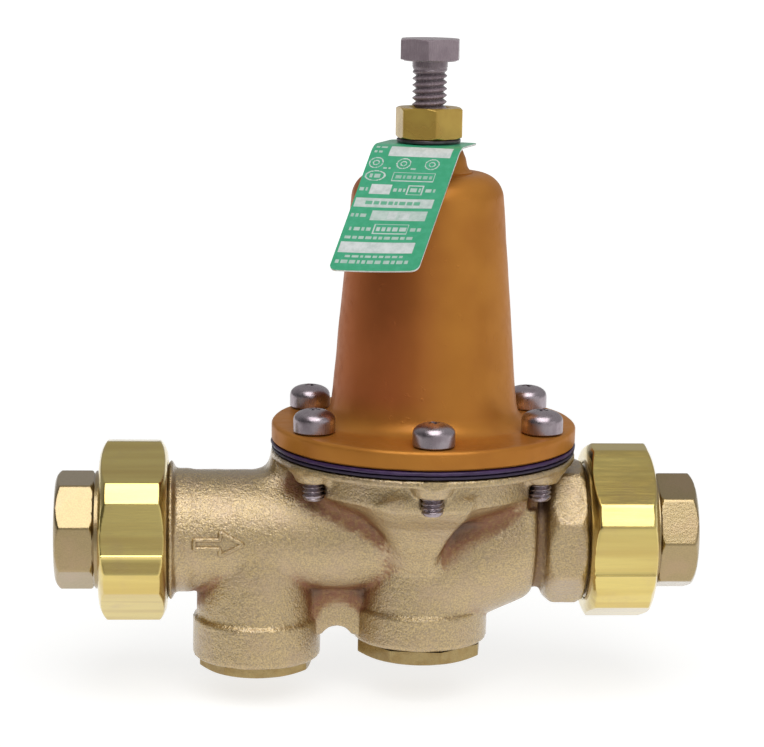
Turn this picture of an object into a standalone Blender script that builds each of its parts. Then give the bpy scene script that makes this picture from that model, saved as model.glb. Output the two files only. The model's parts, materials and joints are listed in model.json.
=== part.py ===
"""A direct-acting pressure reducing valve with a built-in strainer and union ends.

Frame: the origin is where the pipe axis crosses the bonnet axis. +X is the flow direction, +Z runs up the
bonnet. Dimensions are in millimetres and are turned into metres by MM as each mesh is made.
"""

import math

import bmesh
import bpy
from mathutils import Matrix, Vector

MM = 0.001
FINE, MEDIUM, SMALL, COARSE = 28, 20, 12, 10  # sides of a round shape
GAP = 0.3  # clearance between pieces that touch
OVERLAP = 0.5  # how far cutters and joined shapes run past each other
CLEAN_SOLVER = "MANIFOLD"  # where the exact solver leaves open edges: nearly touching rounds, thin sheets

# Body casting
BARREL_R = 17.4
BORE_R = 9.5
SHOULDER_R = 19.9
SPIGOT_R = 19.4
INLET_FACE_X = 72.8  # distance from the bonnet axis to the inlet nut's inner face
OUTLET_FACE_X = 46.6  # the same on the outlet side
SHOULDER_LENGTH = 2.2
COLLAR_START_X, COLLAR_END_X = 34.4, 43.2
COLLAR_R = 21.2
STRAINER_X = -47.2
STRAINER_BOSS_R, STRAINER_COLLAR_R = 17.3, 18.4
STRAINER_COLLAR_TOP, STRAINER_COLLAR_BOTTOM = -24.6, -36.6
SEAT_BOSS_R, SEAT_COLLAR_R = 18.5, 19.4
SEAT_COLLAR_TOP, SEAT_COLLAR_BOTTOM = -21.2, -31.2
PLUG_THREAD_R, PLUG_THREAD_LENGTH = 13.6, 8.0
SEAL_GROOVE_R, SEAL_GROOVE_DEPTH = 16.0, 1.5
SEAL_R = 14.95  # middle of the plugs' O-rings
BOWL_R, BOWL_BOTTOM = 35.0, 14.6
FLANGE_R, FLANGE_BOTTOM, FLANGE_TOP = 43.4, 22.0, 24.1
CHAMBER_R = 29.0
BRIDGE_TOP, BRIDGE_BOTTOM = -0.8, -5.0
SEAT_HOLE_R = 9.3

# Diaphragm stack and bonnet
GASKET_BOTTOM, GASKET_TOP = 24.4, 25.2
DIAPHRAGM_BOTTOM, DIAPHRAGM_TOP = 25.5, 26.6
BONNET_BOTTOM, SCREW_SEAT_Z, NECK_TOP = 26.9, 32.3, 110.9
WALL_BOTTOM_R, WALL_BOTTOM_Z = 26.0, 41.0
WALL_TOP_R, WALL_TOP_Z = 21.5, 96.2
SHOULDER_ARC_R = 7.3
CAVITY_TOP = 98.5
BOLT_HOLE_R = 5.2

# Cap screws
SCREW_COUNT = 6
SCREW_CIRCLE_R = 36.8
SCREW_HEAD_R, SCREW_HEAD_HEIGHT = 5.85, 6.5
SCREW_SHANK_R, SCREW_END_Z = 3.1, 13.2
SCREW_HOLE_R, SCREW_BOSS_R = 3.4, 6.3

# Adjusting gear
BOLT_R = 4.86
BOLT_TIP_Z, BOLT_HEAD_BOTTOM, BOLT_HEAD_TOP = 94.6, 134.85, 140.75
BOLT_FLATS = 16.1
BOLT_TURN, NUT_TURN = -7.0, 9.0  # degrees by which a corner is off the front
LOCK_NUT_BOTTOM, LOCK_NUT_TOP, LOCK_NUT_FLATS = 113.2, 121.7, 17.1
WASHER_BOTTOM, WASHER_TOP, WASHER_R = 112.0, 112.9, 9.0
BUTTON_R, BUTTON_BOTTOM, BUTTON_TOP = 17.0, 90.0, 94.3
SPRING_SEAT, SPRING_R, SPRING_WIRE_R = 29.7, 14.0, 2.2
WIRE_SIDES = 6

# Identification tag
TAG_WIDTH, TAG_THICK, TAG_BOTTOM = 25.4, 0.5, 111.2
TAG_BACK, TAG_FRONT, TAG_SLOPED = 6.0, 7.5, 50.0
TAG_BEND_R, TAG_SLOPE, TAG_TURN = 8.0, 39.5, 22.0
TAG_CORNER_R = 2.0

# Stem and disc, with the valve open
STEM_R, STEM_BOTTOM, STEM_TOP = 2.5, -30.0, 35.6
PLATE_R, PLATE_TOP = 24.5, 33.0
DISC_TOP = -12.4
HOLDER_R, HOLDER_BOTTOM, HOLDER_TOP = 9.0, -18.0, -12.8

# Unions
NUT_LENGTH, NUT_FLATS, NUT_CORNER_R = 19.3, 47.6, 25.7
NUT_BORE_R, NUT_LIP_R, NUT_LIP = 19.7, 17.4, 2.5
TAIL_PROUD, TAIL_NECK, TAIL_FLATS, TAIL_FLANGE_R = 12.6, 1.7, 31.5, 18.7
TAIL_SOCKET_R, TAIL_SOCKET_DEPTH, TAIL_FLANGE = 12.2, 12.5, 2.5
UNION_GASKET = 1.3

MATERIALS = {
    "cast_bronze": ((0.50, 0.36, 0.20), 0.45, 0.9),
    "bonnet_paint": ((0.55, 0.24, 0.04), 0.3, 0.0),
    "yellow_brass": ((0.66, 0.50, 0.20), 0.2, 1.0),
    "steel": ((0.45, 0.42, 0.43), 0.3, 1.0),
    "spring_steel": ((0.30, 0.30, 0.32), 0.35, 1.0),
    "stainless": ((0.60, 0.60, 0.60), 0.25, 1.0),
    "tag_green": ((0.05, 0.42, 0.22), 0.4, 0.0),
    "diaphragm_rubber": ((0.03, 0.02, 0.08), 0.6, 0.0),
    "black_rubber": ((0.02, 0.02, 0.02), 0.6, 0.0),
    "fibre": ((0.35, 0.20, 0.12), 0.7, 0.0),
}


def clear_scene():
    for obj in list(bpy.data.objects):
        bpy.data.objects.remove(obj, do_unlink=True)


def material(name):
    """The named material, made on first use."""
    found = bpy.data.materials.get(name)
    if found:
        return found
    colour, roughness, metallic = MATERIALS[name]
    made = bpy.data.materials.new(name)
    made.use_nodes = True
    shader = made.node_tree.nodes["Principled BSDF"]
    shader.inputs["Base Color"].default_value = (*colour, 1.0)
    shader.inputs["Roughness"].default_value = roughness
    shader.inputs["Metallic"].default_value = metallic
    return made


def finished(bm, name):
    """An object from the bmesh, scaled to metres and shaded smooth between flat faces."""
    bmesh.ops.recalc_face_normals(bm, faces=bm.faces)
    bmesh.ops.scale(bm, vec=(MM, MM, MM), verts=bm.verts)
    mesh = bpy.data.meshes.new(name)
    bm.to_mesh(mesh)
    bm.free()
    mesh.shade_smooth()
    mesh.set_sharp_from_angle(angle=math.radians(35))
    obj = bpy.data.objects.new(name, mesh)
    bpy.context.scene.collection.objects.link(obj)
    return obj


def place(obj, along="Z", at=(0.0, 0.0, 0.0)):
    """Turns a shape made about Z so that its +Z lies along the named axis, then moves it."""
    turn = {"Z": Matrix.Identity(4), "X": Matrix.Rotation(math.pi / 2, 4, "Y")}
    turn["-X"] = Matrix.Rotation(-math.pi / 2, 4, "Y")
    turn["Y"] = Matrix.Rotation(-math.pi / 2, 4, "X")
    obj.data.transform(Matrix.Translation(Vector(at) * MM) @ turn[along])
    return obj


def turned(name, outline, segments=MEDIUM, along="Z", at=(0.0, 0.0, 0.0)):
    """The closed outline of (radius, height) points, turned about the axis."""
    bm = bmesh.new()
    rings = []
    for radius, height in outline:
        if radius == 0:
            rings.append([bm.verts.new((0, 0, height))] * segments)
            continue
        angles = [2 * math.pi * i / segments for i in range(segments)]
        rings.append([bm.verts.new((radius * math.cos(a), radius * math.sin(a), height)) for a in angles])
    for ring, following in zip(rings, rings[1:] + rings[:1]):
        for i in range(segments):
            j = (i + 1) % segments
            corners = [ring[i], ring[j], following[j], following[i]]
            corners = [v for k, v in enumerate(corners) if v not in corners[:k]]
            if len(corners) > 2:
                bm.faces.new(corners)
    return place(finished(bm, name), along, at)


def extruded(name, outline, low, high):
    """The closed outline of (x, y) points, extruded from low to high along Z."""
    bm = bmesh.new()
    base = bm.faces.new([bm.verts.new((x, y, low)) for x, y in outline])
    grown = bmesh.ops.extrude_face_region(bm, geom=[base])["geom"]
    top = [v for v in grown if isinstance(v, bmesh.types.BMVert)]
    bmesh.ops.translate(bm, vec=(0, 0, high - low), verts=top)
    return finished(bm, name)


def arc(centre_r, centre_z, radius, start, end, steps):
    """Points on an arc, with angles in degrees from the +radius direction."""
    angles = [math.radians(start + (end - start) * i / steps) for i in range(steps + 1)]
    return [(centre_r + radius * math.cos(a), centre_z + radius * math.sin(a)) for a in angles]


def polygon(sides, corner_r, turn=0.0):
    """The corners of a regular polygon; turn is the first corner's angle in degrees."""
    angles = [math.radians(turn) + 2 * math.pi * i / sides for i in range(sides)]
    return [(corner_r * math.cos(a), corner_r * math.sin(a)) for a in angles]


def rod(name, radius, low, high, segments=MEDIUM, along="Z", at=(0.0, 0.0, 0.0)):
    return turned(name, [(0, low), (radius, low), (radius, high), (0, high)], segments, along, at)


def combine(target, other, operation, solver="EXACT"):
    """Adds a Boolean modifier and hides the object that it uses."""
    modifier = target.modifiers.new(other.name, "BOOLEAN")
    modifier.operation = operation
    modifier.object = other
    modifier.solver = solver
    other.hide_render = True
    other.display_type = "WIRE"


def join(target, others, solver="EXACT"):
    for other in others:
        combine(target, other, "UNION", solver)


def cut(target, cutters, solver="EXACT"):
    for cutter in cutters:
        combine(target, cutter, "DIFFERENCE", solver)


def move_origin(obj, x):
    """Puts the object's origin on the vertical axis at x, and leaves its shape where it is."""
    obj.data.transform(Matrix.Translation((-x * MM, 0, 0)))
    obj.location.x = x * MM
    return obj


def dress(obj, material_name):
    obj.data.materials.clear()
    obj.data.materials.append(material(material_name))
    return obj


def on_screw_circle(index):
    """The centre of a cap screw; the first one is at the front."""
    angle = math.radians(-90 + 360 / SCREW_COUNT * index)
    return (SCREW_CIRCLE_R * math.cos(angle), SCREW_CIRCLE_R * math.sin(angle), 0.0)


def at_screws(name, radius, low, high, segments):
    """An upright rod at the place of each cap screw."""
    return [rod(f"{name}_{i + 1}", radius, low, high, segments, "Z", on_screw_circle(i))
            for i in range(SCREW_COUNT)]


def o_ring(name, centre_r, centre_z, section_r, centre_x=0.0):
    section = arc(centre_r, centre_z, section_r, 0, 300, 5)
    return dress(turned(name, section, SMALL, "Z", (centre_x, 0, 0)), "black_rubber")


# ---------------------------------------------------------------- body casting


def bowl_outline():
    """The diaphragm bowl and its flange, as one solid."""
    return [
        (0, 6.0), (25.0, 8.5), (33.6, 13.2), (BOWL_R, BOWL_BOTTOM), (BOWL_R, FLANGE_BOTTOM - 1.6),
        (BOWL_R + 1.6, FLANGE_BOTTOM), (FLANGE_R - 0.4, FLANGE_BOTTOM), (FLANGE_R, FLANGE_BOTTOM + 0.4),
        (FLANGE_R, FLANGE_TOP), (0, FLANGE_TOP),
    ]


def boss(name, centre_x, upper_r, collar_r, top, collar_top, bottom):
    """A round boss that hangs below the pipe, with a wider collar at its mouth."""
    step = collar_r - upper_r
    outline = [
        (0, bottom), (collar_r - 0.8, bottom), (collar_r, bottom + 0.8), (collar_r, collar_top - step),
        (upper_r, collar_top), (upper_r, top), (0, top),
    ]
    return turned(name, outline, MEDIUM, "Z", (centre_x, 0, 0))


def spigot(name, face_x, along):
    """One end of the body: the shoulder ring and the thread that the union nut turns on."""
    thread_end = face_x + NUT_LENGTH - NUT_LIP - 2 * GAP - TAIL_FLANGE - UNION_GASKET - 2 * GAP
    shoulder = face_x - GAP
    outline = [
        (0, shoulder - SHOULDER_LENGTH - 3), (BARREL_R - 1, shoulder - SHOULDER_LENGTH - 3),
        (BARREL_R - 1, shoulder - SHOULDER_LENGTH), (SHOULDER_R, shoulder - SHOULDER_LENGTH + 0.4),
        (SHOULDER_R, shoulder - 0.4), (SPIGOT_R, shoulder), (SPIGOT_R, thread_end - 0.8),
        (SPIGOT_R - 0.8, thread_end), (0, thread_end),
    ]
    return turned(name, outline, MEDIUM, along)


def outlet_swell():
    """The rounded body between the seat boss and the outlet collar."""
    outline = [
        (0, 0.0), (18.0, 0.0), (21.5, 8.0), (21.8, 15.0), (20.3, 22.0), (17.6, 30.5), (17.6, 36.0), (0, 36.0),
    ]
    return turned("outlet_swell", outline, MEDIUM, "X")


def plug_bore(name, centre_x, cavity_r, top, bottom):
    """A boss cavity that is open at the bottom, with a counterbore for the plug's O-ring."""
    thread_r, thread_top = PLUG_THREAD_R + GAP, bottom + PLUG_THREAD_LENGTH + 1
    outline = [
        (0, bottom - OVERLAP), (SEAL_GROOVE_R, bottom - OVERLAP), (SEAL_GROOVE_R, bottom + SEAL_GROOVE_DEPTH),
        (thread_r, bottom + SEAL_GROOVE_DEPTH), (thread_r, thread_top), (cavity_r, thread_top),
        (cavity_r, top), (0, top),
    ]
    return turned(name, outline, MEDIUM, "Z", (centre_x, 0, 0))


def flow_passages():
    """The cutters for the way through the body, from inlet to outlet."""
    chamber = [
        (0, BRIDGE_TOP), (12.0, BRIDGE_TOP), (12.0, 14.5), (CHAMBER_R - 2, 17.5), (CHAMBER_R, 18.5),
        (CHAMBER_R, FLANGE_TOP + OVERLAP), (0, FLANGE_TOP + OVERLAP),
    ]
    return [
        rod("inlet_bore", BORE_R, 63.0, 95.0, SMALL, "-X"),
        rod("inlet_link", 5.5, 44.0, 64.0, COARSE, "-X", (0, 0, 3.8)),
        rod("screen_top_hole", 8.3, BRIDGE_BOTTOM - 1, 10.0, SMALL, "Z", (STRAINER_X, 0, 0)),
        plug_bore("strainer_cavity", STRAINER_X, 13.0, BRIDGE_BOTTOM, STRAINER_COLLAR_BOTTOM),
        rod("filtered_link", 5.0, -42.0, -5.0, COARSE, "X", (0, 0, -10.6)),
        plug_bore("seat_cavity", 0.0, 13.5, BRIDGE_BOTTOM, SEAT_COLLAR_BOTTOM),
        rod("seat_hole", SEAT_HOLE_R, BRIDGE_BOTTOM - 1, BRIDGE_TOP + 1, MEDIUM),
        turned("outlet_chamber", chamber, MEDIUM),
        rod("outlet_link", 6.0, 5.0, 23.0, COARSE, "X", (0, 0, 6.0)),
        rod("outlet_bore", BORE_R, 21.0, 70.0, SMALL, "X"),
    ]


def facing_front(obj, y):
    """Stands a shape drawn in X and Y upright, in X and Z, with its low side at the given Y."""
    obj.data.transform(Matrix.Translation((0, y * MM, 0)) @ Matrix.Rotation(math.pi / 2, 4, "X"))
    return obj


def arrow(tail_x, head_x, tip_x, shaft, head):
    """The outline of an arrow that points along +X; shaft and head are half widths."""
    half = [(head_x, head), (head_x, shaft), (tail_x, shaft)]
    return [(x, -y) for x, y in reversed(half)] + [(tip_x, 0)] + half


def flow_arrow():
    """The raised outline arrow on the front of the inlet barrel."""
    root_y = -(BARREL_R - 2.4)
    outer, inner = arrow(-65.4, -57.8, -50.9, 1.5, 3.7), arrow(-64.6, -57.0, -52.9, 0.7, 2.2)
    solid = facing_front(extruded("flow_arrow", outer, 0, 3.0), root_y)
    inside = facing_front(extruded("flow_arrow_inside", inner, 1.2, 3.5), root_y)
    cut(solid, [inside])
    return solid


def web():
    """The flat web between the two bosses, arched on its lower edge."""
    plate = extruded("web", [(-34.0, -6.0), (-14.0, -6.0), (-14.0, 6.0), (-34.0, 6.0)], -29.5, -8.0)
    cut(plate, [rod("web_arch", 4.7, -8.0, 8.0, SMALL, "Y", (-24.4, 0, -31.4))])
    return plate


def flange_root():
    """The fillet that carries the top of the inlet barrel up into the flange."""
    top = FLANGE_BOTTOM + 0.8
    outline = [
        (-30.0, 12.0), (-30.0, top), (-42.6, top), (-43.4, 20.4), (-45.0, 18.6), (-48.0, 17.2), (-48.0, 12.0),
    ]
    return facing_front(extruded("flange_root", outline, -10.0, 10.0), 0.0)


def body_casting():
    body = turned("body", bowl_outline(), FINE)
    barrel = rod("barrel", BARREL_R, -72.5, 35.0, MEDIUM, "X")
    collar = extruded("outlet_collar", polygon(8, COLLAR_R, 22.5), COLLAR_START_X, COLLAR_END_X)
    join(body, [
        barrel,
        outlet_swell(),
        place(collar, "X"),
        spigot("inlet_spigot", INLET_FACE_X, "-X"),
        spigot("outlet_spigot", OUTLET_FACE_X, "X"),
        boss("strainer_boss", STRAINER_X, STRAINER_BOSS_R, STRAINER_COLLAR_R, 3.0, STRAINER_COLLAR_TOP,
             STRAINER_COLLAR_BOTTOM),
        boss("seat_boss", 0.0, SEAT_BOSS_R, SEAT_COLLAR_R, 12.0, SEAT_COLLAR_TOP, SEAT_COLLAR_BOTTOM),
        web(),
        flange_root(),
        flow_arrow(),
    ], CLEAN_SOLVER)
    join(body, at_screws("screw_boss", SCREW_BOSS_R, 18.2, FLANGE_TOP - 0.6, SMALL), CLEAN_SOLVER)
    cut(body, flow_passages(), CLEAN_SOLVER)
    cut(body, at_screws("body_screw_hole", SCREW_HOLE_R, 10.0, 30.0, COARSE), CLEAN_SOLVER)
    dress(body, "cast_bronze")


# ---------------------------------------------------------------- bonnet and diaphragm stack


def bonnet_outline():
    """The bonnet's section: up the outside from the flange to the neck, then down the inside."""
    outside = [
        (FLANGE_R - 0.5, BONNET_BOTTOM), (FLANGE_R, BONNET_BOTTOM + 0.5), (FLANGE_R, 31.2),
        (FLANGE_R - 0.4, 31.9), (FLANGE_R - 1.2, SCREW_SEAT_Z), (31.5, SCREW_SEAT_Z + 0.2),
    ]
    outside += arc(31.5, 37.2, 4.6, 262, 188, 3)
    outside += [(WALL_BOTTOM_R, WALL_BOTTOM_Z)]
    outside += arc(WALL_TOP_R - SHOULDER_ARC_R, WALL_TOP_Z, SHOULDER_ARC_R, 4, 90, 4)
    outside += [(12.4, 103.6), (11.3, 104.6), (10.7, 106.7), (9.6, 109.5), (8.6, NECK_TOP)]
    inside = [
        (BOLT_HOLE_R, NECK_TOP), (BOLT_HOLE_R, CAVITY_TOP), (14.0, CAVITY_TOP - 0.5), (17.6, 94.5),
        (21.8, WALL_BOTTOM_Z), (25.2, 36.0), (CHAMBER_R, 31.0), (CHAMBER_R, BONNET_BOTTOM),
    ]
    return outside + inside


def bonnet():
    shell = turned("bonnet", bonnet_outline(), MEDIUM)
    cut(shell, at_screws("bonnet_screw_hole", SCREW_HOLE_R, 24.0, 36.0, COARSE), CLEAN_SOLVER)
    dress(shell, "bonnet_paint")


def screw_ring(name, inner_r, outer_r, bottom, top):
    """A flat ring clamped in the flange, with a hole for each cap screw."""
    ring = turned(name, [(inner_r, bottom), (outer_r, bottom), (outer_r, top), (inner_r, top)], MEDIUM)
    cut(ring, at_screws(f"{name}_hole", SCREW_HOLE_R, bottom - 1, top + 1, COARSE), CLEAN_SOLVER)
    return ring


def diaphragm():
    """The diaphragm's clamped rim, its dipped fold and its clamped middle."""
    dip, thick = -2.6, DIAPHRAGM_TOP - DIAPHRAGM_BOTTOM
    low, high = DIAPHRAGM_BOTTOM, DIAPHRAGM_TOP
    outline = [
        (STEM_R + GAP, low), (25.2, low), (26.2, low + dip + 0.4), (27.4, low + dip + 0.4), (28.2, low),
        (43.6, low), (43.6, high), (28.6, high), (27.8, high + dip + thick), (25.8, high + dip + thick),
        (24.8, high), (STEM_R + GAP, high),
    ]
    sheet = turned("diaphragm", outline, MEDIUM)
    cut(sheet, at_screws("diaphragm_hole", SCREW_HOLE_R, low - 1, high + 1, COARSE), CLEAN_SOLVER)
    dress(sheet, "diaphragm_rubber")


def cap_screws():
    dome = arc(0.0, 0.0, 1.0, 0, 90, 4)
    dome_height = SCREW_HEAD_HEIGHT * 0.5
    cylinder_top = SCREW_SEAT_Z + GAP + dome_height
    head = [(SCREW_HEAD_R * r if r > 1e-6 else 0, cylinder_top + dome_height * z) for r, z in dome]
    outline = [
        (0, SCREW_END_Z), (SCREW_SHANK_R - 0.6, SCREW_END_Z), (SCREW_SHANK_R, SCREW_END_Z + 0.6),
        (SCREW_SHANK_R, SCREW_SEAT_Z + GAP), (SCREW_HEAD_R - 0.4, SCREW_SEAT_Z + GAP),
        (SCREW_HEAD_R, SCREW_SEAT_Z + GAP + 0.4), *head,
    ]
    screw = dress(turned("cap_screw_1", outline, SMALL), "steel")
    for i in range(SCREW_COUNT):
        if i > 0:
            screw = bpy.data.objects.new(f"cap_screw_{i + 1}", screw.data)
            bpy.context.scene.collection.objects.link(screw)
        screw.location = Vector(on_screw_circle(i)) * MM


# ---------------------------------------------------------------- adjusting gear


def hexagon(name, flats, bottom, top, bore_r, corner_angle, chamfer_top, chamfer_bottom):
    """A hexagon with turned chamfers; bore_r of 0 leaves it solid."""
    corner_r = flats / math.sqrt(3)
    prism = extruded(name, polygon(6, corner_r, corner_angle), bottom, top)
    outline = [
        (bore_r, bottom), (corner_r - chamfer_bottom, bottom),
        (corner_r + 0.2, bottom + chamfer_bottom * 0.62), (corner_r + 0.2, top - chamfer_top * 0.62),
        (corner_r - chamfer_top, top), (bore_r, top),
    ]
    combine(prism, turned(f"{name}_chamfer", outline, SMALL), "INTERSECT")
    return prism


def adjusting_bolt():
    corner = -90 + BOLT_TURN
    bolt = hexagon("adjusting_bolt", BOLT_FLATS, BOLT_HEAD_BOTTOM, BOLT_HEAD_TOP, 0, corner, 1.3, 0.1)
    collar_bottom = BOLT_HEAD_BOTTOM - 1.9
    top, tip = BOLT_HEAD_BOTTOM + OVERLAP, 1.4
    shank = [(0, BOLT_TIP_Z), (BOLT_R - tip, BOLT_TIP_Z), (BOLT_R, BOLT_TIP_Z + tip), (BOLT_R, top), (0, top)]
    collar = rod("bolt_collar", BOLT_R + 0.1, collar_bottom, BOLT_HEAD_BOTTOM + 0.4, SMALL)
    join(bolt, [turned("bolt_shank", shank, SMALL), collar])
    dress(bolt, "steel")


def lock_nut():
    bore_r, corner = BOLT_R + GAP, -90 + NUT_TURN
    nut = hexagon("lock_nut", LOCK_NUT_FLATS, LOCK_NUT_BOTTOM, LOCK_NUT_TOP, bore_r, corner, 1.4, 1.2)
    dress(nut, "yellow_brass")


def lock_washer():
    inner = BOLT_R + GAP
    outline = [(inner, WASHER_BOTTOM), (WASHER_R, WASHER_BOTTOM), (WASHER_R, WASHER_TOP), (inner, WASHER_TOP)]
    dress(turned("lock_washer", outline, MEDIUM), "spring_steel")


def spring_button():
    """The plate between the bolt's tip and the main spring, dimpled on top and piloted below."""
    outline = [
        (0, BUTTON_BOTTOM - 3), (10.2, BUTTON_BOTTOM - 3), (10.6, BUTTON_BOTTOM), (BUTTON_R, BUTTON_BOTTOM),
        (BUTTON_R, BUTTON_BOTTOM + 2), (11.0, BUTTON_TOP), (4.0, BUTTON_TOP), (0, BUTTON_TOP - 1.2),
    ]
    dress(turned("spring_button", outline, MEDIUM), "spring_steel")


def coil_spring(name, bottom, top, coil_r, wire_r, turns, per_turn, material_name):
    """A compression spring with closed ends, swept along its helix."""
    low, high = bottom + wire_r, top - wire_r
    closed_turns = 0.9
    steps = int(turns * per_turn)
    closed_rise = 2 * wire_r + GAP
    bm = bmesh.new()
    rings = []
    for i in range(steps + 1):
        t = i / per_turn
        if t < closed_turns:
            z = low + closed_rise * t / closed_turns
        elif t > turns - closed_turns:
            z = high - closed_rise * (turns - t) / closed_turns
        else:
            free = (t - closed_turns) / (turns - 2 * closed_turns)
            z = low + closed_rise + (high - low - 2 * closed_rise) * free
        a = 2 * math.pi * t
        centre = Vector((coil_r * math.cos(a), coil_r * math.sin(a), z))
        outward = Vector((math.cos(a), math.sin(a), 0))
        ring = []
        for y, z in polygon(WIRE_SIDES, wire_r):
            ring.append(bm.verts.new(centre + outward * y + Vector((0, 0, z))))
        rings.append(ring)
    for ring, following in zip(rings, rings[1:]):
        for k in range(WIRE_SIDES):
            j = (k + 1) % WIRE_SIDES
            bm.faces.new([ring[k], ring[j], following[j], following[k]])
    bm.faces.new(rings[0])
    bm.faces.new(rings[-1])
    dress(finished(bm, name), material_name)


def tag_path():
    """The tag's centre line, as (distance from the bolt axis, height of its underside, slope in degrees)."""
    points = [(-TAG_BACK, TAG_BOTTOM, 0.0), (TAG_FRONT, TAG_BOTTOM, 0.0)]
    steps = 4
    for i in range(1, steps + 1):
        slope = TAG_SLOPE * i / steps
        a = math.radians(slope)
        run, drop = TAG_BEND_R * math.sin(a), TAG_BEND_R * (1 - math.cos(a))
        points.append((TAG_FRONT + run, TAG_BOTTOM - drop, slope))
    run, height, slope = points[-1]
    a = math.radians(slope)
    straight = TAG_SLOPED - TAG_BEND_R * a
    points.append((run + straight * math.cos(a), height - straight * math.sin(a), slope))
    return points


def tag_corner_insets():
    """How far the sides draw in near an end that has rounded corners: (distance from the end, inset)."""
    angles = [math.radians(30 * i) for i in range(4)]
    return [(TAG_CORNER_R * (1 - math.cos(a)), TAG_CORNER_R * (1 - math.sin(a))) for a in angles]


def identification_tag():
    """A thin plate with a hole for the bolt, bent down at the front, with rounded corners."""
    path = tag_path()
    insets = tag_corner_insets()
    back_run, back_height, _ = path[0]
    front_run, front_height, front_slope = path[-1]
    a = math.radians(front_slope)
    stations = [(back_run + d, back_height, 0.0, inset) for d, inset in insets]
    stations += [(run, height, slope, 0.0) for run, height, slope in path[1:-1]]
    stations += [(front_run - d * math.cos(a), front_height + d * math.sin(a), front_slope, inset)
                 for d, inset in reversed(insets)]
    bm = bmesh.new()
    rings = []
    for run, height, slope, inset in stations:
        a = math.radians(slope)
        half = TAG_WIDTH / 2 - inset
        up = (TAG_THICK * math.sin(a), TAG_THICK * math.cos(a))
        rings.append([bm.verts.new(p) for p in (
            (-half, -run, height), (half, -run, height),
            (half, -run - up[0], height + up[1]), (-half, -run - up[0], height + up[1]))])
    for ring, following in zip(rings, rings[1:]):
        for k in range(4):
            j = (k + 1) % 4
            bm.faces.new([ring[k], ring[j], following[j], following[k]])
    bm.faces.new(rings[0])
    bm.faces.new(rings[-1])
    tag = finished(bm, "identification_tag")
    tag.data.transform(Matrix.Rotation(math.radians(-TAG_TURN), 4, "Z"))
    cut(tag, [rod("tag_hole", BOLT_R + GAP, TAG_BOTTOM - 1, TAG_BOTTOM + 2, SMALL)])
    dress(tag, "tag_green")


# ---------------------------------------------------------------- stem, disc and seat


def stem_assembly():
    around, collar_bottom = STEM_R + GAP, HOLDER_BOTTOM - 2.3
    stem = [
        (0, STEM_BOTTOM), (STEM_R - 0.5, STEM_BOTTOM), (STEM_R, STEM_BOTTOM + 0.5), (STEM_R, collar_bottom),
        (4.5, collar_bottom), (4.5, HOLDER_BOTTOM - GAP), (STEM_R, HOLDER_BOTTOM - GAP),
        (STEM_R, STEM_TOP - 0.4), (STEM_R - 0.4, STEM_TOP), (0, STEM_TOP),
    ]
    dress(turned("stem", stem, 12), "stainless")
    washer_top = DIAPHRAGM_BOTTOM - GAP
    washer = [
        (around, washer_top - 2.2), (13.0, washer_top - 2.2), (22.5, washer_top - 1.2), (22.5, washer_top),
        (around, washer_top),
    ]
    dress(turned("diaphragm_washer", washer, MEDIUM), "yellow_brass")
    floor = DIAPHRAGM_TOP + GAP
    plate = [
        (around, floor), (PLATE_R - 0.8, floor), (PLATE_R, floor + 0.8), (PLATE_R, 28.6), (22.6, 29.6),
        (18.0, 29.6), (18.0, PLATE_TOP), (17.0, PLATE_TOP), (16.9, SPRING_SEAT), (10.6, SPRING_SEAT),
        (10.2, 31.6), (around, 31.6),
    ]
    dress(turned("pressure_plate", plate, MEDIUM), "spring_steel")
    nut = hexagon("stem_nut", 9.5, 31.9, 34.8, around, 0, 0.9, 0.1)
    dress(nut, "steel")
    holder = [
        (around, HOLDER_BOTTOM), (HOLDER_R - 0.8, HOLDER_BOTTOM), (HOLDER_R, HOLDER_BOTTOM + 0.8),
        (HOLDER_R, HOLDER_TOP), (8.2, HOLDER_TOP), (8.2, HOLDER_TOP - 2.8), (around, HOLDER_TOP - 2.8),
    ]
    dress(turned("disc_holder", holder, SMALL), "yellow_brass")
    disc = [(around, DISC_TOP - 2.9), (7.9, DISC_TOP - 2.9), (7.9, DISC_TOP), (around, DISC_TOP)]
    dress(turned("seat_disc", disc, SMALL), "black_rubber")
    dress(hexagon("disc_nut", 8.0, DISC_TOP + GAP, DISC_TOP + 2.6, around, 0, 0.8, 0.1), "stainless")


def seat_ring():
    outline = [
        (6.0, BRIDGE_TOP), (6.0, -9.3), (6.6, -9.9), (7.2, -9.3), (7.4, -9.0), (12.0, -9.0), (12.0, -7.1),
        (9.0, -7.1), (9.0, BRIDGE_TOP),
    ]
    dress(turned("seat_ring", outline, SMALL), "stainless")
    o_ring("seat_o_ring", 10.35, -6.05, 0.72)


# ---------------------------------------------------------------- strainer and plugs


def screwed_plug(name, centre_x, mouth, bottom, corner_r, cup_r, cup_floor, corner_angle):
    """An octagonal plug: the octagon under the collar, and a threaded cup above it inside the boss."""
    head_top = mouth - GAP
    octagon = extruded(name, polygon(8, corner_r, corner_angle), bottom, head_top)
    octagon.data.transform(Matrix.Translation((centre_x * MM, 0, 0)))
    chamfer = [(0, bottom - 0.1), (corner_r - 1.6, bottom - 0.1), (corner_r + 0.4, bottom + 1.2),
               (corner_r + 0.4, head_top + 0.1), (0, head_top + 0.1)]
    combine(octagon, turned(f"{name}_chamfer", chamfer, MEDIUM, "Z", (centre_x, 0, 0)), "INTERSECT")
    thread_top = mouth + PLUG_THREAD_LENGTH
    cup = [(0, head_top - OVERLAP), (PLUG_THREAD_R, head_top - OVERLAP), (PLUG_THREAD_R, thread_top - 0.8),
           (PLUG_THREAD_R - 0.8, thread_top), (cup_r, thread_top), (cup_r, cup_floor), (0, cup_floor)]
    join(octagon, [turned(f"{name}_cup", cup, SMALL, "Z", (centre_x, 0, 0))])
    return octagon


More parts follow.
